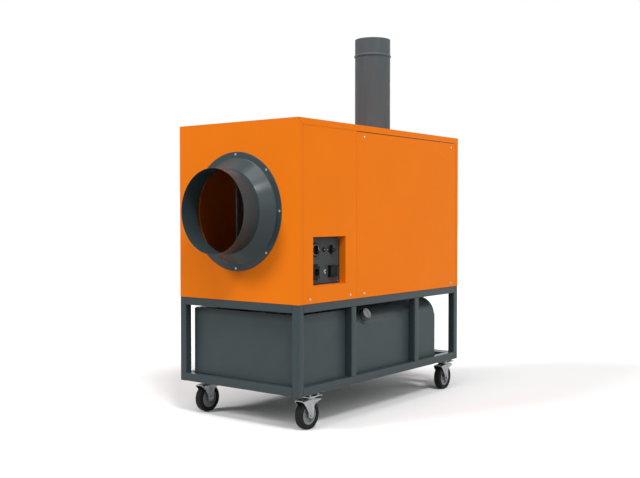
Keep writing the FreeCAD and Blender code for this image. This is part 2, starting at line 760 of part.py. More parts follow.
def make_exchanger():
    """Folded drum, turning box, flat ducts and smoke box: the burnt gas goes forward and comes back."""
    length = CHAMBER_REAR - CHAMBER_FRONT
    start = (0, CHAMBER_FRONT, CHAMBER_Z)
    inner = CHAMBER_RADIUS - BOX_SHEET
    drum = polygon(CHAMBER_SIDES, 2 * CHAMBER_RADIUS, length, start, Y_AXIS)
    drum = drum.cut(polygon(CHAMBER_SIDES, 2 * inner, length - BOX_SHEET, start, Y_AXIS))
    mouth = (0, CHAMBER_REAR - BOX_SHEET, CHAMBER_Z)
    write("combustion_chamber", drum.cut(rod(BLAST_RADIUS + BLAST_GAP, BOX_SHEET, mouth, Y_AXIS)))

    half = BOX_WIDTH / 2
    turn_box = hollow_box((-half, TURN_BOX_Y, FLOOR_Z), (half, CHAMBER_FRONT, SMOKE_TOP), BOX_SHEET)
    smoke_rear = SMOKE_FRONT + SMOKE_BOX_LENGTH
    smoke_box = hollow_box((-half, SMOKE_FRONT, SMOKE_LOW), (half, smoke_rear, SMOKE_TOP), BOX_SHEET)
    for opening in duct_blocks(BOX_SHEET, CHAMBER_FRONT - BOX_SHEET, SMOKE_FRONT + BOX_SHEET):
        turn_box = turn_box.cut(opening)
        smoke_box = smoke_box.cut(opening)
    half_way = FIRE_WAY / 2
    turn_box = turn_box.cut(
        box(
            (-half_way, CHAMBER_FRONT - BOX_SHEET, CHAMBER_Z - half_way),
            (half_way, CHAMBER_FRONT, CHAMBER_Z + half_way),
        )
    )
    way_out = rod(FLUE_RADIUS - FLUE_SHEET, BOX_SHEET, (0, FLUE_Y, SMOKE_TOP - BOX_SHEET), Z_AXIS)
    write("smoke_boxes", turn_box, smoke_box.cut(way_out))

    ducts = []
    bores = duct_blocks(BOX_SHEET, CHAMBER_FRONT, SMOKE_FRONT)
    for outer, hole in zip(duct_blocks(0, CHAMBER_FRONT, SMOKE_FRONT), bores):
        ducts.append(outer.cut(hole))
    write("exchanger_ducts", *ducts)

    saddles = []
    cradle = polygon(CHAMBER_SIDES, 2 * CHAMBER_RADIUS, length, start, Y_AXIS)
    for y in (CHAMBER_FRONT + SADDLE_INSET, CHAMBER_REAR - SADDLE_INSET):
        plate = box(
            (-SADDLE_WIDTH / 2, y, FLOOR_Z),
            (SADDLE_WIDTH / 2, y + SADDLE_SHEET, CHAMBER_Z - SADDLE_DROP),
        )
        saddles.append(plate.cut(cradle))
    write("exchanger_saddles", *saddles)


def make_burner():
    start = (0, CHAMBER_REAR - BLAST_LENGTH, CHAMBER_Z)
    half = BURNER_FLANGE_SIDE / 2
    flange = box((-half, CHAMBER_REAR, CHAMBER_Z - half), (half, BURNER_FRONT, CHAMBER_Z + half))
    write("burner_tube", rod(BLAST_RADIUS, BLAST_LENGTH, start, Y_AXIS).fuse(flange))

    half_width = BURNER_WIDTH / 2
    half_height = BURNER_HEIGHT / 2
    body = box(
        (-half_width, BURNER_FRONT, CHAMBER_Z - half_height),
        (half_width, BURNER_FRONT + BURNER_LENGTH, CHAMBER_Z + half_height),
    )
    rear_edges = [e for e in body.Edges if e.BoundBox.YMin > BURNER_FRONT + BURNER_LENGTH / 2]
    write("burner_body", body.makeFillet(BURNER_ROUND, rear_edges))

    motor_base = (half_width, BURNER_FRONT + BURNER_MOTOR_BACK, CHAMBER_Z)
    motor = rod(BURNER_MOTOR_RADIUS, BURNER_MOTOR_LENGTH, motor_base, X_AXIS)
    pump_low = UNION_LOW + UNION_HEIGHT
    half_side = PUMP_SIDE / 2
    pump = box(
        (-half_width - PUMP_LENGTH, PUMP_Y - half_side, pump_low),
        (-half_width, PUMP_Y + half_side, pump_low + PUMP_SIDE),
    )
    union = hexagon(UNION_HEX, UNION_HEIGHT, (PUMP_X, PUMP_Y, UNION_LOW), Z_AXIS)
    write("burner_motor", motor, pump.fuse(union))


# Fan and intake


def make_fan_rotor():
    """Six-sided hub with a slanting blade on each side, on the motor's shaft."""
    shaft_low = -FAN_BAR - FAN_HUB_GAP - FAN_SHAFT_DEPTH
    rotor = hexagon(2 * FAN_HUB_RADIUS, FAN_HUB_LENGTH, (0, 0, 0), Z_AXIS)
    rotor = rotor.fuse(rod(FAN_SHAFT_RADIUS, -shaft_low, (0, 0, shaft_low), Z_AXIS))
    half = BLADE_CHORD / 2
    reach = math.sqrt(FAN_RADIUS**2 - half**2)
    flat = box((-half, 0, -BLADE_SHEET / 2), (half, reach, BLADE_SHEET / 2))
    flat.rotate(Vector(), Y_AXIS, BLADE_ANGLE)
    flat.translate(Vector(0, 0, FAN_HUB_LENGTH / 2))
    hub = rotor.copy()
    for k in range(FAN_BLADES):
        blade = flat.copy()
        blade.rotate(Vector(), Z_AXIS, 360 / FAN_BLADES * k)
        rotor = rotor.fuse(blade.cut(hub))
    write("fan_rotor", stand(rotor, (0, FAN_HUB_FRONT, FAN_Z), Y_AXIS))


def make_fan_frame():
    plate_low = LID_LOW - BULKHEAD_HEIGHT
    plate = box((-POST_FACE, BULKHEAD_Y - SHEET, plate_low), (POST_FACE, BULKHEAD_Y, LID_LOW))
    ring = rod(FAN_RING_RADIUS, SHEET, (0, BULKHEAD_Y - SHEET, FAN_Z), Y_AXIS)
    write("fan_bulkhead", plate.cut(ring))

    motor_base = (0, FAN_MOTOR_REAR - FAN_MOTOR_LENGTH, FAN_Z)
    shaft_base = (0, FAN_MOTOR_REAR - FAN_SHAFT_DEPTH - FACE_GAP, FAN_Z)
    motor = rod(FAN_MOTOR_RADIUS, FAN_MOTOR_LENGTH, motor_base, Y_AXIS)
    bore = rod(FAN_SHAFT_RADIUS + RUN_FIT, FAN_SHAFT_DEPTH + FACE_GAP, shaft_base, Y_AXIS)
    half_bar = FAN_RING_RADIUS + FAN_FOOT_GAP
    half_height = FAN_BAR_HEIGHT / 2
    bar = box(
        (-half_bar, FAN_MOTOR_REAR, FAN_Z - half_height),
        (half_bar, FAN_BAR_REAR, FAN_Z + half_height),
    )
    way = FAN_SHAFT_RADIUS + FAN_SHAFT_GAP
    bar = bar.cut(box((-way, FAN_MOTOR_REAR, FAN_Z - way), (way, FAN_BAR_REAR, FAN_Z + way)))
    foot = box(
        (half_bar - FAN_FOOT, FAN_BAR_REAR, FAN_Z - half_height),
        (half_bar, BULKHEAD_Y - SHEET, FAN_Z + half_height),
    )
    for piece in both_sides(foot):
        bar = bar.fuse(piece)
    write("fan_motor", motor.cut(bore), bar)


def make_intake():
    """Louvred intake: a frame behind the rear panel's window with slanting blades that shed rain."""
    half_width = INTAKE_WIDTH / 2
    half_height = INTAKE_HEIGHT / 2
    front = REAR - SHEET - INTAKE_DEPTH
    outer_width = half_width + INTAKE_BORDER
    outer_height = half_height + INTAKE_BORDER
    frame = box(
        (-outer_width, front, FAN_Z - outer_height),
        (outer_width, REAR - SHEET, FAN_Z + outer_height),
    )
    frame = frame.cut(
        box((-half_width, front, FAN_Z - half_height), (half_width, REAR - SHEET, FAN_Z + half_height))
    )
    pitch = INTAKE_HEIGHT / LOUVRES
    rear = REAR - SHEET - LOUVRE_SETBACK
    blades = []
    for k in range(LOUVRES):
        low = FAN_Z - half_height + pitch * k
        high = min(low + pitch + LOUVRE_OVERLAP, FAN_Z + half_height) - LOUVRE_SHEET
        outline = [
            (rear, low),
            (rear, low + LOUVRE_SHEET),
            (front, high + LOUVRE_SHEET),
            (front, high),
        ]
        blades.append(prism([(-half_width, y, z) for y, z in outline], (INTAKE_WIDTH, 0, 0)))
    write("intake_louvre", frame, *blades)


# Fuel tank


def tank_form(inset):
    """Moulded tank: square front, and behind it a body with round shoulders, drawn in by an inset."""
    half = TANK_SIDE - inset
    low = RAIL_TOP + inset
    high = TANK_TOP - inset
    step = FRONT + TANK_STEP - inset
    square = box((-half, FRONT + TANK_FRONT_GAP + inset, low), (half, step, high))
    if not inset:
        square = square.makeFillet(TANK_ROUND, edges_along(square, Z_AXIS))
    body = box((-half, step - TANK_SHOULDER, low), (half, REAR - TANK_REAR_GAP - inset, high))
    shoulders = [e for e in edges_along(body, Y_AXIS) if e.BoundBox.ZMin > (low + high) / 2]
    body = body.makeFillet(TANK_SHOULDER - inset, shoulders)
    return square.fuse(body).removeSplitter()


def filler_axis():
    tilt = math.radians(FILLER_TILT)
    return Vector(math.cos(tilt), 0, math.sin(tilt))


def filler_point(distance):
    """Point on the filler's axis at a distance from the centre of the tank's shoulder."""
    centre = Vector(TANK_SIDE - TANK_SHOULDER, FRONT + FILLER_AT, TANK_TOP - TANK_SHOULDER)
    return tuple(centre + filler_axis() * distance)


def make_tank():
    axis = filler_axis()
    boss_top = TANK_SHOULDER + FILLER_BOSS
    bore = NECK_RADIUS - NECK_WALL
    mouth = rod(bore, boss_top, filler_point(0), axis)
    write("fuel_tank", tank_form(0).cut(tank_form(TANK_WALL)).cut(mouth))

    rim = boss_top + NECK_HEIGHT
    profile = [
        (bore, TANK_SHOULDER / 2),
        (FILLER_BOSS_RADIUS, TANK_SHOULDER / 2),
        (FILLER_BOSS_RADIUS, boss_top),
        (NECK_RADIUS, boss_top),
        (NECK_RADIUS, rim),
        (bore, rim),
    ]
    write("filler_neck", revolved(profile, filler_point(0), axis).cut(tank_form(0)))
    seal_low = rim + SEAL_GAP
    seal_high = seal_low + SEAL
    write("filler_cap_seal", rod(NECK_RADIUS, SEAL, filler_point(seal_low), axis))
    ceiling = seal_high + SEAL_GAP
    skirt = boss_top + CAP_LIFT
    profile = [
        (0, ceiling),
        (NECK_RADIUS + CAP_GAP, ceiling),
        (NECK_RADIUS + CAP_GAP, skirt),
        (CAP_RADIUS, skirt),
        (CAP_RADIUS, ceiling + CAP_TOP),
        (0, ceiling + CAP_TOP),
    ]
    write("filler_cap", revolved(profile, filler_point(0), axis))

    foot = hexagon(PIPE_HEX, PIPE_FOOT, (PUMP_X, PUMP_Y, TANK_TOP), Z_AXIS)
    tube = rod(PIPE_RADIUS, UNION_LOW - TANK_TOP, (PUMP_X, PUMP_Y, TANK_TOP), Z_AXIS)
    write("fuel_pipe", foot.fuse(tube))


# Controls


def control_point(along, up, height=0.0):
    """Point over the control plate, from the recess's front wall and floor."""
    return PLATE_FACE + height, RECESS_Y + along, RECESS_Z + up


def block_on_plate(along, up, length, height, low, high):
    """Block centred on a place of the control plate, between two heights over it."""
    x0, y, z = control_point(along, up, low)
    x1 = PLATE_FACE + high
    return box((x0, y - length / 2, z - height / 2), (x1, y + length / 2, z + height / 2))


def make_recess():
    back = SIDE - RECESS_DEPTH
    tray = recess_block(SHEET, back - SHEET, SIDE)
    tray = tray.fuse(recess_block(SHEET + RECESS_FLANGE, INNER_SIDE - SHEET, INNER_SIDE))
    tray = tray.cut(recess_block(0, back, SIDE))
    write("control_recess", tray)
    write("control_plate", recess_block(-SEAT_GAP, back, PLATE_FACE))


def make_fixed_controls():
    """Ring of the main switch, and the nuts that hold the toggle and the reset button."""
    switch_base = control_point(SWITCH_AT, UPPER_ROW)
    switch_ring = pipe(SWITCH_RING_RADIUS, SWITCH_RING_WIDTH, SWITCH_RING_HEIGHT, switch_base, X_AXIS)
    bush_base = control_point(TOGGLE_AT, UPPER_ROW)
    bush = hexagon(TOGGLE_HEX, TOGGLE_NUT, bush_base, X_AXIS)
    half_slot = PIVOT_LENGTH / 2 + FACE_GAP
    slot_height = 2 * (PIVOT_RADIUS + SEAT_GAP)
    slot = block_on_plate(TOGGLE_AT, UPPER_ROW, 2 * half_slot, slot_height, 0, TOGGLE_NUT)
    bush = bush.cut(slot)
    reset_base = control_point(RESET_AT, LOWER_ROW)
    reset_nut = hexagon(RESET_HEX, RESET_NUT, reset_base, X_AXIS)
    reset_nut = reset_nut.cut(rod(RESET_RADIUS + RESET_GAP, RESET_NUT, reset_base, X_AXIS))
    write("control_bushes", switch_ring, bush, reset_nut)


def make_knobs():
    base = control_point(SWITCH_AT, UPPER_ROW, FACE_GAP)
    radius = SWITCH_RING_RADIUS - SWITCH_RING_WIDTH - SWITCH_KNOB_GAP
    knob = rod(radius, SWITCH_BASE, base, X_AXIS)
    grip = block_on_plate(SWITCH_AT, UPPER_ROW, SWITCH_GRIP, 2 * radius, SWITCH_BASE, SWITCH_KNOB_HEIGHT)
    grip = grip.common(rod(radius, SWITCH_KNOB_HEIGHT, base, X_AXIS))
    write("main_switch_knob", knob.fuse(grip).removeSplitter())

    base = control_point(THERMOSTAT_AT, UPPER_ROW, FACE_GAP)
    profile = [
        (0, 0),
        (THERMOSTAT_RADIUS, 0),
        (THERMOSTAT_TOP_RADIUS, THERMOSTAT_SKIRT),
        (THERMOSTAT_TOP_RADIUS, THERMOSTAT_HEIGHT),
        (0, THERMOSTAT_HEIGHT),
    ]
    write("thermostat_knob", revolved(profile, base, X_AXIS))

    pivot_height = FACE_GAP + PIVOT_RADIUS
    pivot_base = control_point(TOGGLE_AT - PIVOT_LENGTH / 2, UPPER_ROW, pivot_height)
    pivot = rod(PIVOT_RADIUS, PIVOT_LENGTH, pivot_base, Y_AXIS)
    x, y, z = control_point(TOGGLE_AT, UPPER_ROW, pivot_height)
    outline = [
        (x, z - LEVER / 2),
        (x + LEVER_LENGTH, z - LEVER_TIP / 2),
        (x + LEVER_LENGTH, z + LEVER_TIP / 2),
        (x, z + LEVER / 2),
    ]
    bat = prism([(x, y - LEVER_TIP / 2, z) for x, z in outline], (0, LEVER_TIP, 0))
    write("toggle_lever", pivot.fuse(bat))

    low = RESET_TRAVEL + FACE_GAP
    button = rod(RESET_RADIUS, RESET_HEIGHT - low, control_point(RESET_AT, LOWER_ROW, low), X_AXIS)
    write("reset_button", button)


def make_inlet():
    """Power inlet: a flange, a square body with a round bore and its flat contact pins."""
    at = (INLET_AT, LOWER_ROW)
    flange = block_on_plate(*at, INLET_FLANGE_LENGTH, INLET_FLANGE_HEIGHT, 0, INLET_FLANGE)
    body = block_on_plate(*at, INLET_LENGTH, INLET_HEIGHT, 0, INLET_DEPTH)
    floor = INLET_DEPTH - INLET_BORE_DEPTH
    bore = rod(INLET_BORE_RADIUS, INLET_BORE_DEPTH, control_point(*at, floor), X_AXIS)
    inlet = flange.fuse(body).cut(bore)
    for k in range(INLET_PINS):
        along = INLET_AT + INLET_PIN_PITCH * (k - (INLET_PINS - 1) / 2)
        pin = block_on_plate(along, LOWER_ROW, INLET_PIN, INLET_PIN_HEIGHT, floor, floor + INLET_PIN_LENGTH)
        inlet = inlet.fuse(pin)
    write("power_inlet", inlet)


def make_socket():
    """Socket for a room thermostat, under a lid whose barrel turns between two ears."""
    at = (SOCKET_AT, LOWER_ROW)
    pin_height = SOCKET_DEPTH + FACE_GAP + SOCKET_BARREL_RADIUS
    pin_up = LOWER_ROW + SOCKET_HEIGHT / 2 - SOCKET_BARREL_RADIUS
    ear_top = pin_height + SOCKET_BARREL_RADIUS
    body = block_on_plate(*at, SOCKET_LENGTH, SOCKET_HEIGHT, 0, SOCKET_DEPTH)
    pocket_floor = SOCKET_DEPTH - SOCKET_POCKET_DEPTH
    body = body.cut(block_on_plate(*at, SOCKET_POCKET, SOCKET_POCKET, pocket_floor, SOCKET_DEPTH))
    for sign in (-1, 1):
        along = SOCKET_AT + sign * (SOCKET_LENGTH - SOCKET_EAR) / 2
        ear = block_on_plate(along, pin_up, SOCKET_EAR, 2 * SOCKET_BARREL_RADIUS, SOCKET_DEPTH, ear_top)
        body = body.fuse(ear)
    write("socket_body", body)

    barrel_length = SOCKET_LENGTH - 2 * SOCKET_EAR - 2 * FACE_GAP
    barrel_base = control_point(SOCKET_AT - barrel_length / 2, pin_up, pin_height)
    lid_low = SOCKET_DEPTH + FACE_GAP
    ear_corner = SOCKET_BARREL_RADIUS * math.sqrt(2)
    flap_low = LOWER_ROW - SOCKET_HEIGHT / 2 + SOCKET_LID_BORDER
    flap_high = pin_up - ear_corner - FACE_GAP
    flap_height = flap_high - flap_low
    flap_up = (flap_low + flap_high) / 2
    flap_length = SOCKET_LENGTH - 2 * SOCKET_LID_BORDER
    lid = block_on_plate(SOCKET_AT, flap_up, flap_length, flap_height, lid_low, lid_low + SOCKET_LID)
    tongue_height = 2 * SOCKET_BARREL_RADIUS
    tongue_up = pin_up - SOCKET_BARREL_RADIUS
    lid_high = lid_low + SOCKET_LID
    tongue = block_on_plate(SOCKET_AT, tongue_up, barrel_length, tongue_height, lid_low, lid_high)
    lid = lid.fuse(tongue).fuse(rod(SOCKET_BARREL_RADIUS, barrel_length, barrel_base, Y_AXIS))
    write("socket_lid", lid.removeSplitter())


os.makedirs("parts", exist_ok=True)
make_frame()
make_castors()
make_floor()
make_end_panels()
make_side_panels()
make_lid()
make_casing_frame()
make_divider()
make_outlet()
make_flue()
make_exchanger()
make_burner()
make_fan_rotor()
make_fan_frame()
make_intake()
make_tank()
make_recess()
make_fixed_controls()
make_knobs()
make_inlet()
make_socket()
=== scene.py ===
"""Looks of an indirect-fired diesel heater: finishes, rounded shells and small hardware on its CAD frame."""

import itertools
import json
from math import atan2, cos, pi, radians, sin, tan

import bmesh
import bpy
from mathutils import Matrix, Vector


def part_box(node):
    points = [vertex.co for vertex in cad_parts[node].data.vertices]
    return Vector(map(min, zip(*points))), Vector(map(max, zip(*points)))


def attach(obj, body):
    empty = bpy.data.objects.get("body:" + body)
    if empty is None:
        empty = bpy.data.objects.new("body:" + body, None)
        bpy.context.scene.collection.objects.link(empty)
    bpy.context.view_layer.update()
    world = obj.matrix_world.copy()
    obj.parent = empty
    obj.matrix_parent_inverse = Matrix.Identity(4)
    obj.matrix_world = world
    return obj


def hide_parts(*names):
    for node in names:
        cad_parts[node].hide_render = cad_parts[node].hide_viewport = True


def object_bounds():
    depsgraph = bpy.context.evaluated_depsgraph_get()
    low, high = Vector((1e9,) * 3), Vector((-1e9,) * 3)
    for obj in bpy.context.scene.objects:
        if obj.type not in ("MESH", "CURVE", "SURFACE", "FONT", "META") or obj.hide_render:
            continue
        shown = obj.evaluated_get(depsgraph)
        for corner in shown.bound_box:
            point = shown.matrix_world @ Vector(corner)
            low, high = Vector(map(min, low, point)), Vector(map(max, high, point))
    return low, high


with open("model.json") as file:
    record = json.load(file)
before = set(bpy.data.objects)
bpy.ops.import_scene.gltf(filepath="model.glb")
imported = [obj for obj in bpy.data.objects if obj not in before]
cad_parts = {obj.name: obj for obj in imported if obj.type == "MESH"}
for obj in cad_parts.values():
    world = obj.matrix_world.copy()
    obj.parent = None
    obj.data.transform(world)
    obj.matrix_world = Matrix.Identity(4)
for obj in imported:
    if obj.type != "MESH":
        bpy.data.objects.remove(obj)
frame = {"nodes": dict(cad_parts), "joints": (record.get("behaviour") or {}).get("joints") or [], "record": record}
cad_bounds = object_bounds()

# Lengths are in metres. The part's front faces -Y and its right side +X.
RIGHT = (1, 0, 0)
LEFT = (-1, 0, 0)
BACK = (0, 1, 0)
FRONT = (0, -1, 0)
UP = (0, 0, 1)

# Camera of the photograph
LENS = 51.07  # millimetres, as the sensor
SENSOR = 36.0
CAMERA_PLACE = (3.0165, -3.9224, 1.020)
CAMERA_PITCH = 88.54  # degrees from looking straight down
CAMERA_HEADING = 37.53  # degrees from +Y towards -X

# Light and stage
AMBIENT = 0.20
LAMPS = {  # direction the light comes from, strength, degrees across
    "top": ((0.10, -0.30, 0.95), 0.95, 30.0),
    "key": ((-0.39, -0.70, 0.60), 1.80, 18.0),
    "side": ((0.54, -0.36, 0.76), 1.57, 13.0),
    "fill": ((0.95, -0.10, 0.35), 1.45, 60.0),
}
FLOOR_REACH = 60.0
FLOOR_BOUNCE = 0.30  # what the floor throws back at the object
FLOOR_SEEN = 0.90  # what the camera sees of it
FLOOR_ROUGHNESS = 0.9
FLOOR_SPECULAR = 0.1

# Mesh detail
TURN_STEPS = 128  # segments of a large round piece
SMALL_STEPS = 48
HEAD_STEPS = 24  # segments of a screw head
RIB_STEPS = 8  # segments of one grip rib or flute
ARC_STEPS = 6  # segments of a rounded corner
ARC_SHARE = 0.49  # most of an outline's side that one arc may take
BLOCK_STEPS = 3  # segments of a block's rounded edge
EDGE_STEPS = 2  # segments of a sheet's broken edge
SHARP_ANGLE = 35.0  # degrees, edges above it stay crisp
FLAT_ANGLE = 1.0  # degrees, flatter edges are dissolved
TINY = 1e-6
WELD = 1e-5
NOISE_RANGE = (0.3, 0.7)  # the part of a noise that is used in full
FINE_RELIEF = 0.0002  # depth of the grain of most finishes

# Roundings, from a broken edge to a fillet
HAIR_EDGE = 0.0005
THIN_EDGE = 0.0006
EDGE = 0.0008
FULL_EDGE = 0.001
LIP_EDGE = 0.0012
BLUNT_EDGE = 0.0015
SOFT_EDGE = 0.002
ROUND_EDGE = 0.0025
FILLET = 0.004

# Square tube
TUBE_ROUND = 0.004
TUBE_WALL = 0.003

# Screws: head radius and height
PANEL_SCREW = (0.0046, 0.0030)
SMALL_SCREW = (0.0032, 0.0020)
SCREW_RIM = 1.35  # washer rim to head radius
DRIVE_SHARE = 0.42  # driver socket to head radius

# Nuts and washers
NUT_CHAMFER = 0.06  # in widths across flats
WASHER = 0.0015  # thickness
THIN_WASHER = 0.001
WASHER_EDGE = 0.0003
STANDOFF_WASHER = 0.68  # radius in widths across flats
AXLE_WASHER = 0.66

# Castors
TRAIL = 0.014  # axle off the kingpin line
CASTOR_YAW = {"front": -1.0, "rear": 2.0}  # degrees, as parked
TYRE_WIDTH = 0.040
TYRE_SHOULDER = 0.010
# Corners of the tyre's wall: distance off the rim, inset from the tyre's side, rounding
TYRE_WALL = [(0.0002, 0.004), (0.0016, 0.0015, 0.0016), (0.007, 0.0015, 0.002), (0.009, 0, 0.002)]
RIM_WIDTH = 0.030
RIM_BORE = 0.0053
RIM_HUB_RADIUS = 0.013
RIM_DISH_RADIUS = 0.0395
RIM_DISH_DEPTH = 0.0075
RIM_DRAFT = 0.0015  # slope of the dish's walls
RIM_RIBS = 6
RIM_RIB = (0.0018, 0.002, 0.003)  # half thickness, inset from face and hub, end in the band
FORK_HALF = 0.028  # half the width over the legs
FORK_SHEET = 0.004
FORK_BEND = 0.010
FORK_FRONT = 0.072  # reach of the crown's wings from the kingpin
FORK_REAR = 0.063
FORK_DROOP = 0.005  # drop of the wings' ends
FORK_WING = 0.008  # depth of a wing's end
FORK_FLARE = 0.030  # start of the rear wing, below the crown
FORK_SWEEP = 0.120  # radius of the front edge of a leg
FORK_LEG = 0.020  # half width of a leg at the axle
FORK_TIP = 0.014
FORK_SLICES = 26
LEG_PRESSING = (0.0175, 0.0012)  # half width, rise over the leg
LEG_FOOT = 0.8  # reach of the pressing below the axle, in tips
RACE_GAP = 0.009  # crown to castor plate
RACE_RADIUS = 0.036
RACE_WAIST = 0.030
RACE_BORE = 0.018
RACE_HEIGHT = 0.012
AXLE_RADIUS = 0.005
AXLE_HEX = 0.017
AXLE_HEAD = 0.0064
SPACER_GAP = 0.0003

# Outlet
OUTLET_WALL = 0.002
FLANGE_SHEET = 0.003
CONE_BASE_RADIUS = 0.258
CONE_FILLET = 0.005
FLANGE_SCREWS = 8
FLANGE_SCREW_CIRCLE = 0.277
RIM_ROLL = 0.0009
DIVIDER_SHEET = 0.002
CORNER_BEAD = 0.006  # bead where the divider meets the casing
CORNER_BEAD_ROUND = 0.45  # its rounding, in widths

# Flue
FLUE_WALL = 0.002
BEAD_BELOW_TOP = 0.097
BEAD_HALF = 0.009
BEAD_RISE = 0.006
SEAM_WIDTH = 0.008
SEAM_RISE = 0.0012
SEAM_ANGLE = 100.0  # degrees from +X
FLASHING_RADIUS = 0.118
FLASHING_HEIGHT = 0.022
FLASHING_FOOT = 0.008  # half the width of its foot
FLASHING_SHEET = 0.002
FLASHING_LIP = (0.0003, 0.0025)  # inside and outside, off the pipe
FLUE_SCREW_INSET = 0.016

# Dark strips at seams, painted shade for the shadow in each gap: width and height over the sheet
ACCESS_SHADE_STRIP = (0.0032, 0.0004)
PLATE_SHADE_STRIP = (0.0045, 0.0008)

# Side screws: distance from the casing's front, height over its underside
SIDE_SCREWS = [(0.088, 0.021), (0.413, 0.021), (0.532, 0.021), (1.418, 0.021), (0.532, 0.812), (1.418, 0.812)]
LEFT_EXTRA_SCREWS = [(0.088, 0.812)]
REAR_SCREW_INSET = 0.040
INTAKE_SCREW_MARGIN = 0.011

# Fuel tank
TANK_STEP = 0.452  # front of the frame to the end of the tank's square front
TANK_ROUND = 0.020
TANK_EDGE = 0.009
TANK_EDGE_STEPS = 4
TANK_FOOT = 0.0004
TANK_SHOULDER = 0.098
# the pads are painted shade: dark pieces that close the slit under the tank, where the floor lies in shade
TANK_PAD = 0.005  # pads between the bearers under the tank
TANK_PAD_INSET = 0.002
TANK_PAD_GAP = 0.004

# Filler: heights run along its axis from the centre of the tank's shoulder
FILLER_AXIS = Vector((cos(radians(30)), 0, sin(radians(30))))
BOSS_RADIUS = 0.035
BOSS_TOP = TANK_SHOULDER + 0.006
BOSS_SUNK = 0.8  # its foot inside the tank, in shoulder radii
BOSS_FOOT = 0.006  # how much wider it is there
BOSS_FLARE = 0.003  # and at the tank's skin
NECK_RADIUS = 0.022
NECK_WALL = 0.003
NECK_HEIGHT = 0.028
THREAD_START = 0.008  # over the boss
THREAD_PITCH = 0.008
THREAD_TURNS = 2.2
THREAD_SECTION = [(-0.0003, -0.0016), (0.0009, -0.0006), (0.0009, 0.0006), (-0.0003, 0.0016)]
THREAD_FADE = 4  # 1 / 4 turn to the full height
THREAD_LEAST = 0.05  # share of the height at its ends
CAP_RIBS = (24, 0.0012, 2)  # count, depth, sharpness
CAP_BORE = 0.0235
CAP_SKIRT = 0.005  # over the boss
CAP_CEILING = 0.0307
CAP_ROOF = 0.005
CAP_RIM = (0.005, 0.0065)  # inner edges of the rim on top
CAP_DISH = 0.0012
CAP_BAR = (0.018, 0.0035, 0.002, 0.0002)  # half length, half width, foot and top below the rim

# Controls
SWITCH_RING = (0.0262, 0.034, 0.006)  # bore, radius, height
SWITCH_TRIM = (0.0248, 0.0262, 0.0066)
SWITCH_DISC = 0.008
SWITCH_BAR = (0.004, 0.0058, 0.003)  # foot, half width, inset from the disc's edge
SWITCH_MARK = (0.004, 0.006)  # start off the axis, end off the disc's edge
MARK = (0.0008, 0.0004, 0.0003, 0.0001)  # line on a knob: half width, sunk, proud, edge
RESET_NUT = (0.016, 0.004, 0.0056, 0.0105)  # across flats, height, bore, washer radius
TOGGLE_NUT = (0.018, 0.005, 0.0042, 0.0115)
KNOB_FLUTES = (14, 0.0011, 3)
FLUTE_REACH = 0.004  # depth to which the flutes shape the grip
KNOB_SKIRT = 0.006  # width of the skirt round the grip
SKIRT_HEIGHTS = (0.002, 0.005)
SKIRT_FILLET = 0.003
GRIP_FOOT = 0.003
GRIP_DRAFT = 0.0006
GRIP_ROUND = 0.0018
KNOB_MARK = (0.006, 0.003)
DIAL_TICKS = 11
DIAL_SWEEP = 270.0  # degrees
DIAL_RADIUS = 0.0275
TICK = (0.0032, 0.0009, 0.0003)  # length, width, thickness
TOGGLE_BALL = 0.0030
TOGGLE_NECK = (TOGGLE_BALL, 0.0028, 0.0026)  # radius, height over the pivot, rounding
TOGGLE_WAIST = (0.0015, 0.0045, 0.001)
TOGGLE_TIP = (0.0026, 0.0024)  # radius, rounding
RESET_CROWN = 0.001
PLATE_SCREW_INSET = 0.009
INLET_SCREW_INSET = (0.0042, 0.0048)
INLET_FLANGE = 0.004  # height over the plate
LID_FACE = 0.001  # off the hinge's axis
LID_RIBS = 3
LID_RIB = (0.001, 0.0012, 0.0018)  # sunk, proud, width
LID_RIB_ROWS = (0.005, 0.004)  # first over the lid's lower edge, pitch
LID_RIB_INSET = 0.012
LID_LIP = (0.004, 0.0015, 0.002, 0.0025)  # behind and before the face, below and above the edge
LID_LIP_HALF = 0.012


# Mesh helpers


def rounded(outline):
    """Closed outline of (x, y) corners, those with a third value rounded to that radius."""
    points = []
    for k, (x, y, *radius) in enumerate(outline):
        corner = Vector((x, y))
        if not radius:
            points.append(corner)
            continue
        before = Vector(outline[k - 1][:2]) - corner
        after = Vector(outline[(k + 1) % len(outline)][:2]) - corner
        half = before.angle(after) / 2
        reach = min(radius[0] / tan(half), ARC_SHARE * min(before.length, after.length))
        before.normalize()
        after.normalize()
        centre = corner + (before + after).normalized() * (reach / cos(half))
        start = corner + before * reach - centre
        end = corner + after * reach - centre
        first = atan2(start.y, start.x)
        sweep = (atan2(end.y, end.x) - first + pi) % (2 * pi) - pi
        for step in range(ARC_STEPS + 1):
            angle = first + sweep * step / ARC_STEPS
            points.append(centre + Vector((cos(angle), sin(angle))) * start.length)
    return points


def rectangle(left, foot, right, top, foot_radius, top_radius):
    return rounded([
        (left, foot, foot_radius),
        (right, foot, foot_radius),
        (right, top, top_radius),
        (left, top, top_radius),
    ])


def standing(base, axis):
    """Placement whose own Z runs along axis from base."""
    return Matrix.Translation(base) @ Vector(axis).to_track_quat("Z", "Y").to_matrix().to_4x4()


def side_on(x):
    """Placement of a side view at x: its X along +Y, its Y up, its Z along +X."""
    return Matrix(((0, 0, 1, x), (1, 0, 0, 0), (0, 1, 0, 0), (0, 0, 0, 1)))


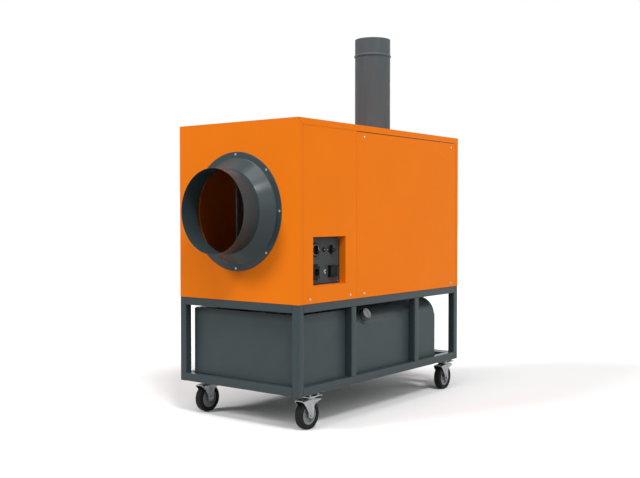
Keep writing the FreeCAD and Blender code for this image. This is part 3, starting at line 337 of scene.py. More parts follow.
def lathe(bm, profile, place, steps=SMALL_STEPS, shape=None, above=0):
    """Turn (radius, height) points about the place's Z. A shape changes each radius above a limit."""
    rings = []
    for radius, height in profile:
        if radius < TINY:
            rings.append([bm.verts.new(place @ Vector((0, 0, height)))])
            continue
        loop = []
        for k in range(steps):
            angle = 2 * pi * k / steps
            reach = shape(radius, angle) if shape and radius >= above else radius
            point = Vector((reach * cos(angle), reach * sin(angle), height))
            loop.append(bm.verts.new(place @ point))
        rings.append(loop)
    for loop, after in zip(rings, rings[1:] + rings[:1]):
        for k in range(steps):
            corners = [loop[k % len(loop)], loop[(k + 1) % len(loop)]]
            corners += [after[(k + 1) % len(after)], after[k % len(after)]]
            corners = list(dict.fromkeys(corners))
            if len(corners) > 2:
                bm.faces.new(corners)


def turned(outline, place, *detail):
    """New mesh, turned from an outline with rounded corners."""
    bm = bmesh.new()
    lathe(bm, rounded(outline), place, *(detail or [TURN_STEPS]))
    return bm


def rod(bm, radius, length, place):
    lathe(bm, [(0, 0), (radius, 0), (radius, length), (0, length)], place)


def ring(bm, bore, radius, height, edges, place, steps=SMALL_STEPS):
    """Ring or disc with its outer upper edge rounded, and its inner one where there is a second value."""
    outer, *inner = edges
    outline = [(bore, 0), (radius, 0), (radius, height, outer), (bore, height, *inner)]
    lathe(bm, rounded(outline), place, steps)


def bridge(bm, loop, after):
    """Faces between two loops of as many points."""
    for k in range(len(loop)):
        step = (k + 1) % len(loop)
        bm.faces.new((loop[k], loop[step], after[step], after[k]))


def extrude(bm, outline, place, depth):
    """Prism of a flat outline, pushed along the place's own Z."""
    low = [bm.verts.new(place @ Vector((x, y, 0))) for x, y in outline]
    high = [bm.verts.new(place @ Vector((x, y, depth))) for x, y in outline]
    bm.faces.new(low)
    bm.faces.new(high)
    bridge(bm, low, high)


def bevel(bm, edges, width, steps):
    bmesh.ops.bevel(bm, geom=edges, offset=width, segments=steps, profile=0.5, affect="EDGES")


def block(bm, low, high, radius, place=Matrix.Identity(4)):
    """Block between two corners with rounded edges."""
    low, high = Vector(low), Vector(high)
    size = Matrix.Diagonal((*(high - low), 1))
    made = bmesh.ops.create_cube(bm, size=1, matrix=place @ Matrix.Translation((low + high) / 2) @ size)
    bevel(bm, list({e for v in made["verts"] for e in v.link_edges}), radius, BLOCK_STEPS)


def border(bm, low, high, width, radius, across):
    """Strips along the four edges of a flat upright box."""
    for axis in (across, 2):
        for start in (low[axis], high[axis] - width):
            first, last = list(low), list(high)
            if axis == 2:
                first[across] += width
                last[across] -= width
            first[axis], last[axis] = start, start + width
            block(bm, first, last, radius)


def hexagon(radius, angle):
    """Shape of a six-sided piece."""
    turn = pi / 3
    return radius / cos((angle + turn / 2) % turn - turn / 2)


def fluted(count, depth, sharpness):
    """Shape of a piece with flutes along it."""
    return lambda radius, angle: radius - depth * (0.5 + 0.5 * cos(count * angle)) ** sharpness


def hex_nut(bm, across, height, bore, place):
    """Six-sided nut with chamfered corners, or a bolt head where the bore is 0."""
    half = across / 2
    chamfer = across * NUT_CHAMFER
    flat, drop = half - chamfer, chamfer / 2
    profile = [(bore, 0), (flat, 0), (half, drop), (half, height - drop), (flat, height), (bore, height)]
    lathe(bm, profile, place, shape=hexagon, above=flat - TINY)


def bolt_head(bm, across, height, washer_share, place):
    """Bolt head or closed nut on its washer, of a height in all."""
    ring(bm, 0, across * washer_share, WASHER, [WASHER_EDGE], place)
    hex_nut(bm, across, height - WASHER, 0, place @ Matrix.Translation((0, 0, WASHER)))


def panel_nut(bm, size, place):
    """Nut and thin washer of a control."""
    across, height, bore, washer_radius = size
    hex_nut(bm, across, height, bore, place)
    ring(bm, bore, washer_radius, THIN_WASHER, [WASHER_EDGE], place)


def screw_head(bm, size, place):
    """Pan head with its washer rim and a driver socket."""
    radius, height = size
    rim = radius * SCREW_RIM
    drive = radius * DRIVE_SHARE
    outline = [
        (0, 0),
        (rim, 0),
        (rim, height * 0.18, height * 0.08),
        (radius, height * 0.25),
        (radius, height, radius * 0.55),
        (drive, height, height * 0.05),
        (drive * 0.9, height * 0.45),
        (0, height * 0.40),
    ]
    lathe(bm, rounded(outline), place, steps=HEAD_STEPS)


def screw_rows(bm, size, xs, ys, zs, axis):
    """Screws at each crossing of the given places."""
    for spot in itertools.product(xs, ys, zs):
        screw_head(bm, size, standing(spot, axis))


def new_object(name, data):
    item = bpy.data.objects.new(name, data)
    bpy.context.scene.collection.objects.link(item)
    return item


def mesh_object(name, bm):
    """Object of a finished mesh, with its faces turned outwards."""
    bmesh.ops.recalc_face_normals(bm, faces=bm.faces)
    mesh = bpy.data.meshes.new(name)
    bm.to_mesh(mesh)
    bm.free()
    return new_object(name, mesh)


def combined(first, second, operation):
    """Mesh of two closed meshes joined or crossed."""
    pieces = [mesh_object("temporary", bm) for bm in (first, second)]
    cut = pieces[0].modifiers.new("combine", "BOOLEAN")
    cut.operation = operation
    cut.object = pieces[1]
    cut.solver = "EXACT"
    bpy.context.view_layer.update()
    result = bmesh.new()
    result.from_object(pieces[0], bpy.context.evaluated_depsgraph_get())
    for piece in pieces:
        mesh = piece.data
        bpy.data.objects.remove(piece)
        bpy.data.meshes.remove(mesh)
    return result


def add_piece(name, bm, slot, body="chassis", replaces=()):
    """Turn a finished mesh into a piece of the object that rides on a body."""
    piece = mesh_object(name, bm)
    mesh = piece.data
    mesh.polygons.foreach_set("use_smooth", [True] * len(mesh.polygons))
    mesh.set_sharp_from_angle(angle=radians(SHARP_ANGLE))
    mesh.materials.append(finishes[slot])
    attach(piece, body)
    if replaces:
        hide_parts(*replaces)
    return piece


def round_edges(piece, width):
    """Rounded edges on a piece with flat faces, as a modifier."""
    edges = piece.modifiers.new("edges", "BEVEL")
    edges.width = width
    edges.segments = EDGE_STEPS
    edges.limit_method = "ANGLE"
    edges.angle_limit = radians(SHARP_ANGLE)
    edges.harden_normals = True


# Sizes and places that the frame gives


def solid_boxes(node):
    """Corners of each separate solid of a CAD node."""
    bm = bmesh.new()
    bm.from_mesh(frame["nodes"][node].data)
    bmesh.ops.remove_doubles(bm, verts=bm.verts, dist=WELD)
    boxes = []
    waiting = set(bm.verts)
    while waiting:
        group = [waiting.pop()]
        for vert in group:
            linked = {e.other_vert(vert) for e in vert.link_edges} & waiting
            waiting -= linked
            group += linked
        low = Vector(min(v.co[k] for v in group) for k in range(3))
        high = Vector(max(v.co[k] for v in group) for k in range(3))
        boxes.append((low, high))
    bm.free()
    return sorted(boxes, key=lambda box: tuple(box[0]))


def middle(node):
    low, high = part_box(node)
    return (low + high) / 2


def half_span(node, axis):
    """Half a node's size along an axis."""
    low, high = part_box(node)
    return (high[axis] - low[axis]) / 2


def joint_spot(name):
    """Point on a joint's axis."""
    return next(j for j in frame["joints"] if j["name"] == name)["pos_m"]


tyre_radius = half_span("tyre_front_left", 2)
rim_radius = half_span("wheel_rim_front_left", 2)
axle_z = joint_spot("wheel_spin_front_left")[2]
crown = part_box("castor_fork_front_left")[1].z - RACE_GAP
plate_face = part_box("control_plate")[1].x


# Finishes


def add_node(tree, kind, values):
    """New shader node. Each of its inputs gets a value, or a link where the value is an output."""
    node = tree.nodes.new(kind)
    for name, value in values.items():
        if isinstance(value, bpy.types.NodeSocket):
            tree.links.new(value, node.inputs[name])
        else:
            node.inputs[name].default_value = value
    return node


class Finish:
    """Procedural material of one slot, whose detail keeps its real size."""

    def __init__(self, slot, metallic=0.0, specular=0.5):
        self.material = bpy.data.materials.new(slot)
        self.material.use_nodes = True
        self.tree = self.material.node_tree
        self.shader = self.tree.nodes["Principled BSDF"].inputs
        self.shader["Metallic"].default_value = metallic
        self.shader["Specular IOR Level"].default_value = specular
        self.place = self.tree.nodes.new("ShaderNodeTexCoord").outputs["Object"]

    def noise(self, scale, detail=3.0, stretch=(1, 1, 1)):
        mapping = add_node(self.tree, "ShaderNodeMapping", {"Vector": self.place, "Scale": stretch})
        values = {"Vector": mapping.outputs["Vector"], "Scale": scale, "Detail": detail}
        return add_node(self.tree, "ShaderNodeTexNoise", values).outputs["Fac"]

    def cells(self, scale):
        """Random grey of each cell, as in zinc spangle."""
        cells = add_node(self.tree, "ShaderNodeTexVoronoi", {"Vector": self.place, "Scale": scale})
        split = add_node(self.tree, "ShaderNodeSeparateColor", {"Color": cells.outputs["Color"]})
        return split.outputs["Red"]

    def ranged(self, pattern, low, high):
        start, end = NOISE_RANGE
        values = {"Value": pattern, "From Min": start, "From Max": end, "To Min": low, "To Max": high}
        return add_node(self.tree, "ShaderNodeMapRange", values).outputs["Result"]

    def colours(self, pattern, first, second):
        mix = self.tree.nodes.new("ShaderNodeMix")
        mix.data_type = "RGBA"
        sockets = [s for s in mix.inputs if s.type == "RGBA"]
        sockets[0].default_value = (*first, 1)
        sockets[1].default_value = (*second, 1)
        self.tree.links.new(self.ranged(pattern, 0, 1), mix.inputs["Factor"])
        result = next(s for s in mix.outputs if s.type == "RGBA")
        self.tree.links.new(result, self.shader["Base Color"])

    def tones(self, pattern, colour, dark, light):
        """One colour, between two shares of its brightness."""
        self.colours(pattern, [c * dark for c in colour], [c * light for c in colour])

    def gloss(self, pattern, low, high):
        self.tree.links.new(self.ranged(pattern, low, high), self.shader["Roughness"])

    def relief(self, pattern, strength, distance=FINE_RELIEF):
        values = {"Height": pattern, "Strength": strength, "Distance": distance}
        bump = add_node(self.tree, "ShaderNodeBump", values)
        self.tree.links.new(bump.outputs["Normal"], self.shader["Normal"])


def powder_coat(slot, colour, low, high, spread=0.04, specular=0.2):
    """Sprayed coat: faint cloudiness, orange peel and a slightly uneven gloss."""
    finish = Finish(slot, specular=specular)
    finish.tones(finish.noise(2.5, 4), colour, 1 - spread, 1 + spread)
    finish.gloss(finish.noise(35), low, high)
    finish.relief(finish.noise(650, 2), strength=0.05)
    return finish


def heat_paint(slot, colour):
    """Matt stove paint with long faint runs down the pipe."""
    finish = Finish(slot, specular=0.2)
    finish.tones(finish.noise(14, 4, stretch=(1, 1, 0.12)), colour, dark=0.88, light=1.12)
    finish.gloss(finish.noise(60), low=0.50, high=0.66)
    finish.relief(finish.noise(1400, 2), strength=0.2)
    return finish


def plated(slot, colour, low, high):
    """Zinc plate: clouded brightness and fine drawing marks."""
    finish = Finish(slot, metallic=1.0)
    finish.tones(finish.noise(45, 4), colour, dark=0.80, light=1.12)
    finish.gloss(finish.noise(90, 4, stretch=(1, 1, 6)), low, high)
    finish.relief(finish.noise(900, 2, stretch=(1, 1, 8)), strength=0.12)
    return finish


def galvanised(slot, colour):
    """Hot-dip zinc with its spangle."""
    finish = Finish(slot, metallic=1.0)
    spangle = finish.cells(90)
    finish.tones(spangle, colour, dark=0.72, light=1.08)
    finish.gloss(spangle, low=0.34, high=0.56)
    finish.relief(finish.noise(300), strength=0.1)
    return finish


def heated(slot, cold, hot):
    """Plain steel sheet with patches of heat tint."""
    finish = Finish(slot, metallic=1.0)
    finish.colours(finish.noise(6, 5), cold, hot)
    finish.gloss(finish.noise(70, 4, stretch=(1, 6, 1)), low=0.38, high=0.60)
    finish.relief(finish.noise(800, 2, stretch=(1, 8, 1)), strength=0.15)
    return finish


def moulded(slot, colour, low, high, grain, depth, spread=0.10, specular=0.25):
    """Moulded plastic or rubber: a fine grain and slight changes of tone."""
    finish = Finish(slot, specular=specular)
    finish.tones(finish.noise(9, 5), colour, 1 - spread, 1 + spread)
    finish.gloss(finish.noise(55), low, high)
    finish.relief(finish.noise(grain), 0.25, depth)
    return finish


def cast(slot, colour):
    """Sand-cast alloy with a rough skin."""
    finish = Finish(slot, metallic=1.0)
    finish.tones(finish.noise(25, 5), colour, dark=0.82, light=1.08)
    finish.gloss(finish.noise(80), low=0.42, high=0.62)
    finish.relief(finish.noise(500, 4), strength=0.4, distance=0.0003)
    return finish


# Finish of each slot: its kind, its colour, and the further values of that kind
SLOTS = {
    "orange_paint": (powder_coat, (0.800, 0.180, 0.003), 0.42, 0.54, 0.02, 0.10),
    "anthracite_paint": (powder_coat, (0.031, 0.046, 0.050), 0.21, 0.27, 0.04, 0.24),
    "flue_paint": (heat_paint, (0.066, 0.080, 0.087)),
    "zinc": (plated, (0.36, 0.37, 0.38), 0.26, 0.44),
    "rim_plastic": (moulded, (0.20, 0.21, 0.215), 0.42, 0.58, 700, 0.0002),
    "tyre_rubber": (moulded, (0.009, 0.009, 0.010), 0.62, 0.82, 900, 0.0003, 0.25, 0.15),
    "galvanised": (galvanised, (0.21, 0.22, 0.225)),
    "heat_steel": (heated, (0.26, 0.25, 0.24), (0.23, 0.18, 0.13)),
    "burner_paint": (powder_coat, (0.06, 0.06, 0.068), 0.36, 0.50),
    "motor_alloy": (cast, (0.52, 0.53, 0.54)),
    "tank_plastic": (moulded, (0.034, 0.048, 0.051), 0.36, 0.46, 260, 0.0002, 0.05),
    "cap_alloy": (plated, (0.19, 0.195, 0.20), 0.34, 0.52),
    "seal_rubber": (moulded, (0.016, 0.016, 0.016), 0.60, 0.80, 900, 0.0002),
    "copper_pipe": (heated, (0.62, 0.32, 0.19), (0.42, 0.20, 0.12)),
    "black_plastic": (moulded, (0.007, 0.007, 0.008), 0.34, 0.50, 1500, 0.0001, 0.10, 0.10),
    "plate_paint": (powder_coat, (0.038, 0.046, 0.047), 0.48, 0.60),
    "bright_metal": (plated, (0.52, 0.52, 0.535), 0.20, 0.34),
}
finishes = {slot: kind(slot, *values).material for slot, (kind, *values) in SLOTS.items()}


# Stage


def make_camera():
    data = bpy.data.cameras.new("camera")
    data.lens = LENS
    data.sensor_width = SENSOR
    camera = new_object("camera", data)
    camera.location = CAMERA_PLACE
    camera.rotation_euler = (radians(CAMERA_PITCH), 0, radians(CAMERA_HEADING))
    bpy.context.scene.camera = camera


def seen_value(tree, unseen, seen, socket):
    """Feed a socket one value, and another for the rays that show a background."""
    path = tree.nodes.new("ShaderNodeLightPath").outputs
    shows = path["Is Camera Ray"]
    for name in ("Is Glossy Ray", "Is Transmission Ray"):
        most = add_node(tree, "ShaderNodeMath", {0: shows, 1: path[name]})
        most.operation = "MAXIMUM"
        shows = most.outputs["Value"]
    value = add_node(tree, "ShaderNodeMapRange", {"Value": shows, "To Min": unseen, "To Max": seen})
    tree.links.new(value.outputs["Result"], socket)


def make_world():
    """Even soft light, and plain white where the background shows."""
    world = bpy.data.worlds.new("studio")
    world.use_nodes = True
    bpy.context.scene.world = world
    background = world.node_tree.nodes["Background"]
    background.inputs["Color"].default_value = (1, 1, 1, 1)
    seen_value(world.node_tree, AMBIENT, 1.0, background.inputs["Strength"])


def make_sun(name, source, strength, spread):
    data = bpy.data.lights.new(name, "SUN")
    data.energy = strength
    data.angle = radians(spread)
    sun = new_object(name, data)
    sun.rotation_euler = Vector(source).to_track_quat("Z", "Y").to_euler()


def make_floor():
    """Pale floor that keeps the shadow, paler where it is seen than where it lights."""
    bm = bmesh.new()
    bmesh.ops.create_grid(bm, x_segments=1, y_segments=1, size=FLOOR_REACH)
    floor = mesh_object("floor", bm)
    floor.location.z = cad_bounds[0][2]
    material = bpy.data.materials.new("floor")
    material.use_nodes = True
    shader = material.node_tree.nodes["Principled BSDF"].inputs
    shader["Roughness"].default_value = FLOOR_ROUGHNESS
    shader["Specular IOR Level"].default_value = FLOOR_SPECULAR
    seen_value(material.node_tree, FLOOR_BOUNCE, FLOOR_SEEN, shader["Base Color"])
    floor.data.materials.append(material)


# CAD nodes that stay


SHEET_NODES = [
    "front_panel", "right_front_panel", "right_access_panel", "left_side_panel", "rear_panel", "top_lid",
    "floor_pan", "casing_frame", "divider_frame", "control_recess", "intake_louvre", "fan_bulkhead",
    "smoke_boxes", "exchanger_ducts", "combustion_chamber", "exchanger_saddles",
]
BLOCK_NODES = [
    "castor_pads", "castor_plates", "flue_collar", "burner_body", "burner_tube", "burner_motor", "fan_motor",
    "fan_rotor", "control_plate", "power_inlet", "socket_body", "socket_lid",
]


def finish_nodes():
    """Give every CAD node the finish of its slot."""
    for part in frame["record"]["subparts"]:
        piece = frame["nodes"][part["node"]]
        if not piece.material_slots:
            piece.data.materials.append(None)
        for slot in piece.material_slots:
            slot.material = finishes[part["material_slot"]]


def soften_nodes():
    """Broken edges on the folded sheets and blocks, as on real ones."""
    for names, width in ((SHEET_NODES, HAIR_EDGE), (BLOCK_NODES, FULL_EDGE)):
        for name in names:
            piece = frame["nodes"][name]
            weld = piece.modifiers.new("weld", "WELD")
            weld.merge_threshold = WELD
            flat = piece.modifiers.new("flat", "DECIMATE")
            flat.decimate_type = "DISSOLVE"
            flat.angle_limit = radians(FLAT_ANGLE)
            round_edges(piece, width)


# Frame and castors


def tube(bm, low, high):
    """Square tube with rounded corners along its longest side, open at its ends."""
    size = high - low
    axis = max(range(3), key=lambda k: size[k])
    along = Vector(1 if k == axis else 0 for k in range(3))
    place = standing((low + high) / 2 - along * size[axis] / 2, along)
    half = min(size) / 2
    bore, bore_round = half - TUBE_WALL, TUBE_ROUND - TUBE_WALL
    outer = rectangle(-half, -half, half, half, TUBE_ROUND, TUBE_ROUND)
    inner = rectangle(-bore, -bore, bore, bore, bore_round, bore_round)
    loops = []
    for outline, height in ((outer, 0), (outer, size[axis]), (inner, size[axis]), (inner, 0)):
        loops.append([bm.verts.new(place @ Vector((x, y, height))) for x, y in outline])
    for loop, after in zip(loops, loops[1:] + loops[:1]):
        bridge(bm, loop, after)


def make_frame():
    for node in ("frame_long_rails", "frame_cross_rails", "frame_posts", "frame_bearers"):
        bm = bmesh.new()
        for low, high in solid_boxes(node):
            tube(bm, low, high)
        add_piece(node + "_tubes", bm, "anthracite_paint", replaces=[node])


def make_castor_nuts():
    """Nut and washer on each castor bolt, between the castor plate and the frame's pad."""
    bm = bmesh.new()
    for low, high in solid_boxes("castor_standoffs"):
        centre = (low + high) / 2
        foot = standing((centre.x, centre.y, low.z), UP)
        bolt_head(bm, high.x - low.x, high.z - low.z, STANDOFF_WASHER, foot)
    add_piece("castor_nuts", bm, "zinc", replaces=["castor_standoffs"])


def castor_frame(name):
    """Placement of a castor: its kingpin line on the floor, turned as it is parked."""
    x, y, _ = joint_spot("castor_swivel_" + name)
    yaw = radians(CASTOR_YAW[name.split("_")[0]])
    return Matrix.Translation((x, y, 0)) @ Matrix.Rotation(yaw, 4, "Z")


def both_sides(side):
    """Corners of a wheel's outline from those of its outer half."""
    return side + [(r, -h, *a) for r, h, *a in reversed(side)]


def make_tyre(name, axle):
    """Solid rubber tyre with round shoulders and a bead where it grips the rim."""
    half = TYRE_WIDTH / 2
    side = [(rim_radius + off, half - inset, *radius) for off, inset, *radius in TYRE_WALL]
    side.append((tyre_radius, half, TYRE_SHOULDER))
    bm = turned(both_sides(side), axle)
    add_piece("tyre_" + name + "_rubber", bm, "tyre_rubber", "wheel_" + name, ["tyre_" + name])


def make_rim(name, axle):
    """Moulded wheel centre: hub, dished web with ribs, and the band that carries the tyre."""
    half = RIM_WIDTH / 2
    dish = half - RIM_DISH_DEPTH
    side = [
        (RIM_BORE, half, HAIR_EDGE),
        (RIM_HUB_RADIUS, half, BLUNT_EDGE),
        (RIM_HUB_RADIUS + RIM_DRAFT, dish, SOFT_EDGE),
        (RIM_DISH_RADIUS, dish, SOFT_EDGE),
        (RIM_DISH_RADIUS + RIM_DRAFT, half, LIP_EDGE),
        (rim_radius, half, EDGE),
    ]
    bm = turned(both_sides(side), axle)
    thick, inset, end = RIM_RIB
    low = (RIM_HUB_RADIUS - inset, -thick, -half + inset)
    high = (RIM_DISH_RADIUS + end, thick, half - inset)
    for k in range(RIM_RIBS):
        block(bm, low, high, EDGE, axle @ Matrix.Rotation(2 * pi * k / RIM_RIBS, 4, "Z"))
    add_piece("wheel_rim_" + name + "_moulding", bm, "rim_plastic", "wheel_" + name, ["wheel_rim_" + name])


def fork_outline():
    """Side view of the fork before its wings are bent down."""
    front, rear = -TRAIL - FORK_LEG, -TRAIL + FORK_LEG
    foot, wing = axle_z - FORK_TIP, crown - FORK_WING
    above = crown + FORK_SHEET
    sweep = (axle_z + crown) / 2 + FORK_TIP / 2
    return rounded([
        (-FORK_FRONT, above),
        (FORK_REAR, above),
        (FORK_REAR, wing, SOFT_EDGE),
        (rear, crown - FORK_FLARE, FORK_FLARE),
        (rear, foot, FORK_TIP),
        (front, foot, FORK_TIP),
        (front, axle_z + FORK_TIP, FORK_TIP),
        (-(FORK_FRONT + FORK_LEG + TRAIL) / 2, sweep, FORK_SWEEP),
        (-FORK_FRONT, wing, SOFT_EDGE),
    ])


def fork_mesh():
    """Pressed fork: a bent channel trimmed to its side view, with its wings bent down."""
    foot = axle_z - 2 * FORK_TIP
    reach = FORK_FRONT + FORK_REAR
    inside, ceiling, bend = FORK_HALF - FORK_SHEET, crown - FORK_SHEET, FORK_BEND - FORK_SHEET
    channel = rounded([
        (-FORK_HALF, foot),
        (-FORK_HALF, crown, FORK_BEND),
        (FORK_HALF, crown, FORK_BEND),
        (FORK_HALF, foot),
        (inside, foot),
        (inside, ceiling, bend),
        (-inside, ceiling, bend),
        (-inside, foot),
    ])
    sheet = bmesh.new()
    along = Matrix.Translation((0, reach, 0)) @ Matrix.Rotation(pi / 2, 4, "X")
    extrude(sheet, channel, along, 2 * reach)
    trim = bmesh.new()
    extrude(trim, fork_outline(), side_on(-2 * FORK_HALF), 4 * FORK_HALF)
    bm = combined(sheet, trim, "INTERSECT")
    for k in range(1, FORK_SLICES):
        cut = (0, -FORK_FRONT + reach * k / FORK_SLICES, 0)
        everything = bm.verts[:] + bm.edges[:] + bm.faces[:]
        bmesh.ops.bisect_plane(bm, geom=everything, plane_co=cut, plane_no=BACK)
    for vert in bm.verts:
        share = max(0.0, (vert.co.z - axle_z) / (crown - axle_z))
        off_middle = (2 * vert.co.y + FORK_FRONT - FORK_REAR) / reach
        vert.co.z -= FORK_DROOP * share * off_middle ** 2
    return bm


def fork_hardware(bm, place):
    """Swivel race, pressed legs, and the axle bolt with its head, nut and washers."""
    race_top = crown + RACE_GAP
    race = [
        (RACE_BORE, race_top - RACE_HEIGHT),
        (RACE_WAIST, race_top - RACE_HEIGHT, FILLET),
        (RACE_RADIUS, race_top - FILLET, FILLET),
        (RACE_RADIUS, race_top, FULL_EDGE),
        (RACE_BORE, race_top),
    ]
    lathe(bm, rounded(race), place, steps=TURN_STEPS)
    leg, raised = LEG_PRESSING
    foot, top = axle_z - FORK_TIP * LEG_FOOT, crown - FORK_BEND
    pad = rectangle(-leg - TRAIL, foot, leg - TRAIL, top, leg, leg / 3)
    inside = FORK_HALF - FORK_SHEET
    spacer = inside - RIM_WIDTH / 2 - SPACER_GAP
    for sign in (-1, 1):
        extrude(bm, pad, place @ side_on(sign * FORK_HALF - raised), 2 * raised)
        outer_end = standing((sign * (FORK_HALF + raised), -TRAIL, axle_z), (sign, 0, 0))
        bolt_head(bm, AXLE_HEX, AXLE_HEAD, AXLE_WASHER, place @ outer_end)
        inner_end = standing((sign * inside, -TRAIL, axle_z), (-sign, 0, 0))
        rod(bm, AXLE_HEX / 2, spacer, place @ inner_end)
    rod(bm, AXLE_RADIUS, 2 * FORK_HALF, place @ standing((-FORK_HALF, -TRAIL, axle_z), RIGHT))


def make_castors():
    for end, side in itertools.product(("front", "rear"), ("left", "right")):
        name = f"{end}_{side}"
        body = "castor_" + name
        place = castor_frame(name)
        axle = place @ standing((0, -TRAIL, axle_z), RIGHT)
        make_tyre(name, axle)
        make_rim(name, axle)
        bm = fork_mesh()
        bmesh.ops.transform(bm, matrix=place, verts=bm.verts)
        pressing = add_piece(f"castor_fork_{name}_pressing", bm, "zinc", body, ["castor_fork_" + name])
        round_edges(pressing, THIN_EDGE)
        bm = bmesh.new()
        fork_hardware(bm, place)
        add_piece(f"castor_axle_{name}", bm, "zinc", body)


# Outlet and flue


def make_outlet():
    """Flanged cone, straight sleeve and the screws of the flange."""
    sleeve_low, sleeve_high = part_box("outlet_sleeve")
    flange_radius, face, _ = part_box("outlet_cone")[1]
    place = standing((0, face, middle("outlet_cone").z), FRONT)
    cone_end = face - sleeve_high.y
    reach = face - sleeve_low.y
    radius = sleeve_high.x
    bore = radius - OUTLET_WALL
    cone = [
        (flange_radius, 0),
        (flange_radius, FLANGE_SHEET, LIP_EDGE),
        (CONE_BASE_RADIUS, FLANGE_SHEET, CONE_FILLET),
        (radius, cone_end),
        (bore, cone_end),
        (CONE_BASE_RADIUS - OUTLET_WALL, 0),
    ]
    add_piece("outlet_cone_spun", turned(cone, place), "anthracite_paint", replaces=["outlet_cone"])
    sleeve = [(bore, cone_end), (radius, cone_end), (radius, reach, RIM_ROLL), (bore, reach, RIM_ROLL)]
    add_piece("outlet_sleeve_rolled", turned(sleeve, place), "anthracite_paint", replaces=["outlet_sleeve"])
    bm = bmesh.new()
    for k in range(FLANGE_SCREWS):
        angle = 2 * pi * k / FLANGE_SCREWS
        spot = Vector((cos(angle), sin(angle), 0)) * FLANGE_SCREW_CIRCLE
        screw_head(bm, PANEL_SCREW, place @ Matrix.Translation(spot + Vector((0, 0, FLANGE_SHEET))))
    add_piece("outlet_screws", bm, "zinc")


def make_divider_bead():
    """Pale bead in the corner where the divider meets the casing, seen through the outlet."""
    low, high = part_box("divider_frame")
    plate = high.y - DIVIDER_SHEET
    first, last = (low.x, plate - CORNER_BEAD, low.z), (high.x, plate, high.z)
    bm = bmesh.new()
    border(bm, first, last, CORNER_BEAD, CORNER_BEAD * CORNER_BEAD_ROUND, across=0)
    add_piece("divider_corner_bead", bm, "zinc")


def make_flue():
    """Pipe with its bead and seam, the flashing at its foot and the screws of its plate."""
    low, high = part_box("flue_pipe")
    centre = middle("flue_pipe")
    radius = half_span("flue_pipe", 0) - BEAD_RISE
    bore = radius - FLUE_WALL
    bead = high.z - BEAD_BELOW_TOP
    foot = standing((centre.x, centre.y, 0), UP)
    outline = [
        (bore, low.z),
        (radius, low.z),
        (radius, bead - BEAD_HALF, FILLET),
        (radius + BEAD_RISE, bead, BEAD_RISE),
        (radius, bead + BEAD_HALF, FILLET),
        (radius, high.z, RIM_ROLL),
        (bore, high.z, RIM_ROLL),
    ]
    bm = turned(outline, foot)
    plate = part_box("flue_collar")[1].z
    turn = foot @ Matrix.Rotation(radians(SEAM_ANGLE), 4, "Z")
    seam = (radius - SEAM_RISE, -SEAM_WIDTH / 2, plate)
    block(bm, seam, (radius + SEAM_RISE, SEAM_WIDTH / 2, bead - BEAD_HALF), SEAM_RISE / 2, turn)
    add_piece("flue_pipe_rolled", bm, "flue_paint", replaces=["flue_pipe"])

    inside, outside = FLASHING_LIP
    flashing = [
        (radius + inside, plate),
        (FLASHING_RADIUS + FLASHING_FOOT, plate, EDGE),
        (FLASHING_RADIUS + FLASHING_FOOT, plate + FLASHING_SHEET, EDGE),
        (FLASHING_RADIUS - FLASHING_FOOT, plate + FILLET, FILLET),
        (radius + outside, plate + FLASHING_HEIGHT, EDGE),
        (radius + inside, plate + FLASHING_HEIGHT),
    ]
    add_piece("flue_flashing", turned(flashing, foot), "flue_paint")
    half = half_span("flue_collar", 0) - FLUE_SCREW_INSET
    bm = bmesh.new()
    xs, ys = (centre.x - half, centre.x + half), (centre.y - half, centre.y + half)
    screw_rows(bm, PANEL_SCREW, xs, ys, [plate], UP)
    add_piece("flue_screws", bm, "zinc")


# Casing screws and the painted shade under the lid's edge


def make_panel_screws():
    _, front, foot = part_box("front_panel")[0]
    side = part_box("right_access_panel")[1].x
    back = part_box("rear_panel")[1].y
    bm = bmesh.new()
    for along, up in SIDE_SCREWS:
        screw_head(bm, PANEL_SCREW, standing((side, front + along, foot + up), RIGHT))
    for along, up in SIDE_SCREWS + LEFT_EXTRA_SCREWS:
        screw_head(bm, PANEL_SCREW, standing((-side, front + along, foot + up), LEFT))
    for node, inset in (("rear_panel", REAR_SCREW_INSET), ("intake_louvre", INTAKE_SCREW_MARGIN)):
        low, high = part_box(node)
        heights = (low.z + inset, (low.z + high.z) / 2, high.z - inset)
        screw_rows(bm, PANEL_SCREW, (low.x + inset, high.x - inset), [back], heights, BACK)
    add_piece("panel_screws", bm, "bright_metal")


def make_access_shade_strip():
    """Dark strip between the access panel and the lid's edge: painted shade for the shadow gap under the lid."""
    low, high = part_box("right_access_panel")
    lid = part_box("top_lid")[0].z
    width, rise = ACCESS_SHADE_STRIP
    bm = bmesh.new()
    # painted shade: a dark strip that stands in for the shadow in the gap under the lid
    block(bm, (high.x - rise, low.y, lid - width), (high.x + rise, high.y, lid), rise / 2)
    add_piece("access_panel_shade_strip", bm, "black_plastic")


# Fuel tank


def make_tank():
    """Moulded tank: a square front and a body with round shoulders behind it."""
    low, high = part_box("fuel_tank")
    half = -low.x
    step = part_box("frame_posts")[0].y + TANK_STEP
    square = bmesh.new()
    plan = rectangle(-half, low.y, half, step, TANK_ROUND, TANK_ROUND)
    extrude(square, plan, Matrix.Translation((0, 0, low.z)), high.z - low.z)
    rims = [e for e in square.edges if all(v.co.z > high.z - TINY for v in e.verts)]
    bevel(square, rims, TANK_EDGE, TANK_EDGE_STEPS)
    body = bmesh.new()
    section = rectangle(-half, low.z, half, high.z, TANK_FOOT, TANK_SHOULDER)
    start = step - TANK_SHOULDER
    upright = Matrix(((1, 0, 0, 0), (0, 0, 1, start), (0, 1, 0, 0), (0, 0, 0, 1)))
    extrude(body, section, upright, high.y - start)
    rims = [e for e in body.edges if all(v.co.y > high.y - TINY for v in e.verts)]
    bevel(body, rims, TANK_EDGE, TANK_EDGE_STEPS)
    add_piece("fuel_tank_moulding", combined(square, body, "UNION"), "tank_plastic", replaces=["fuel_tank"])


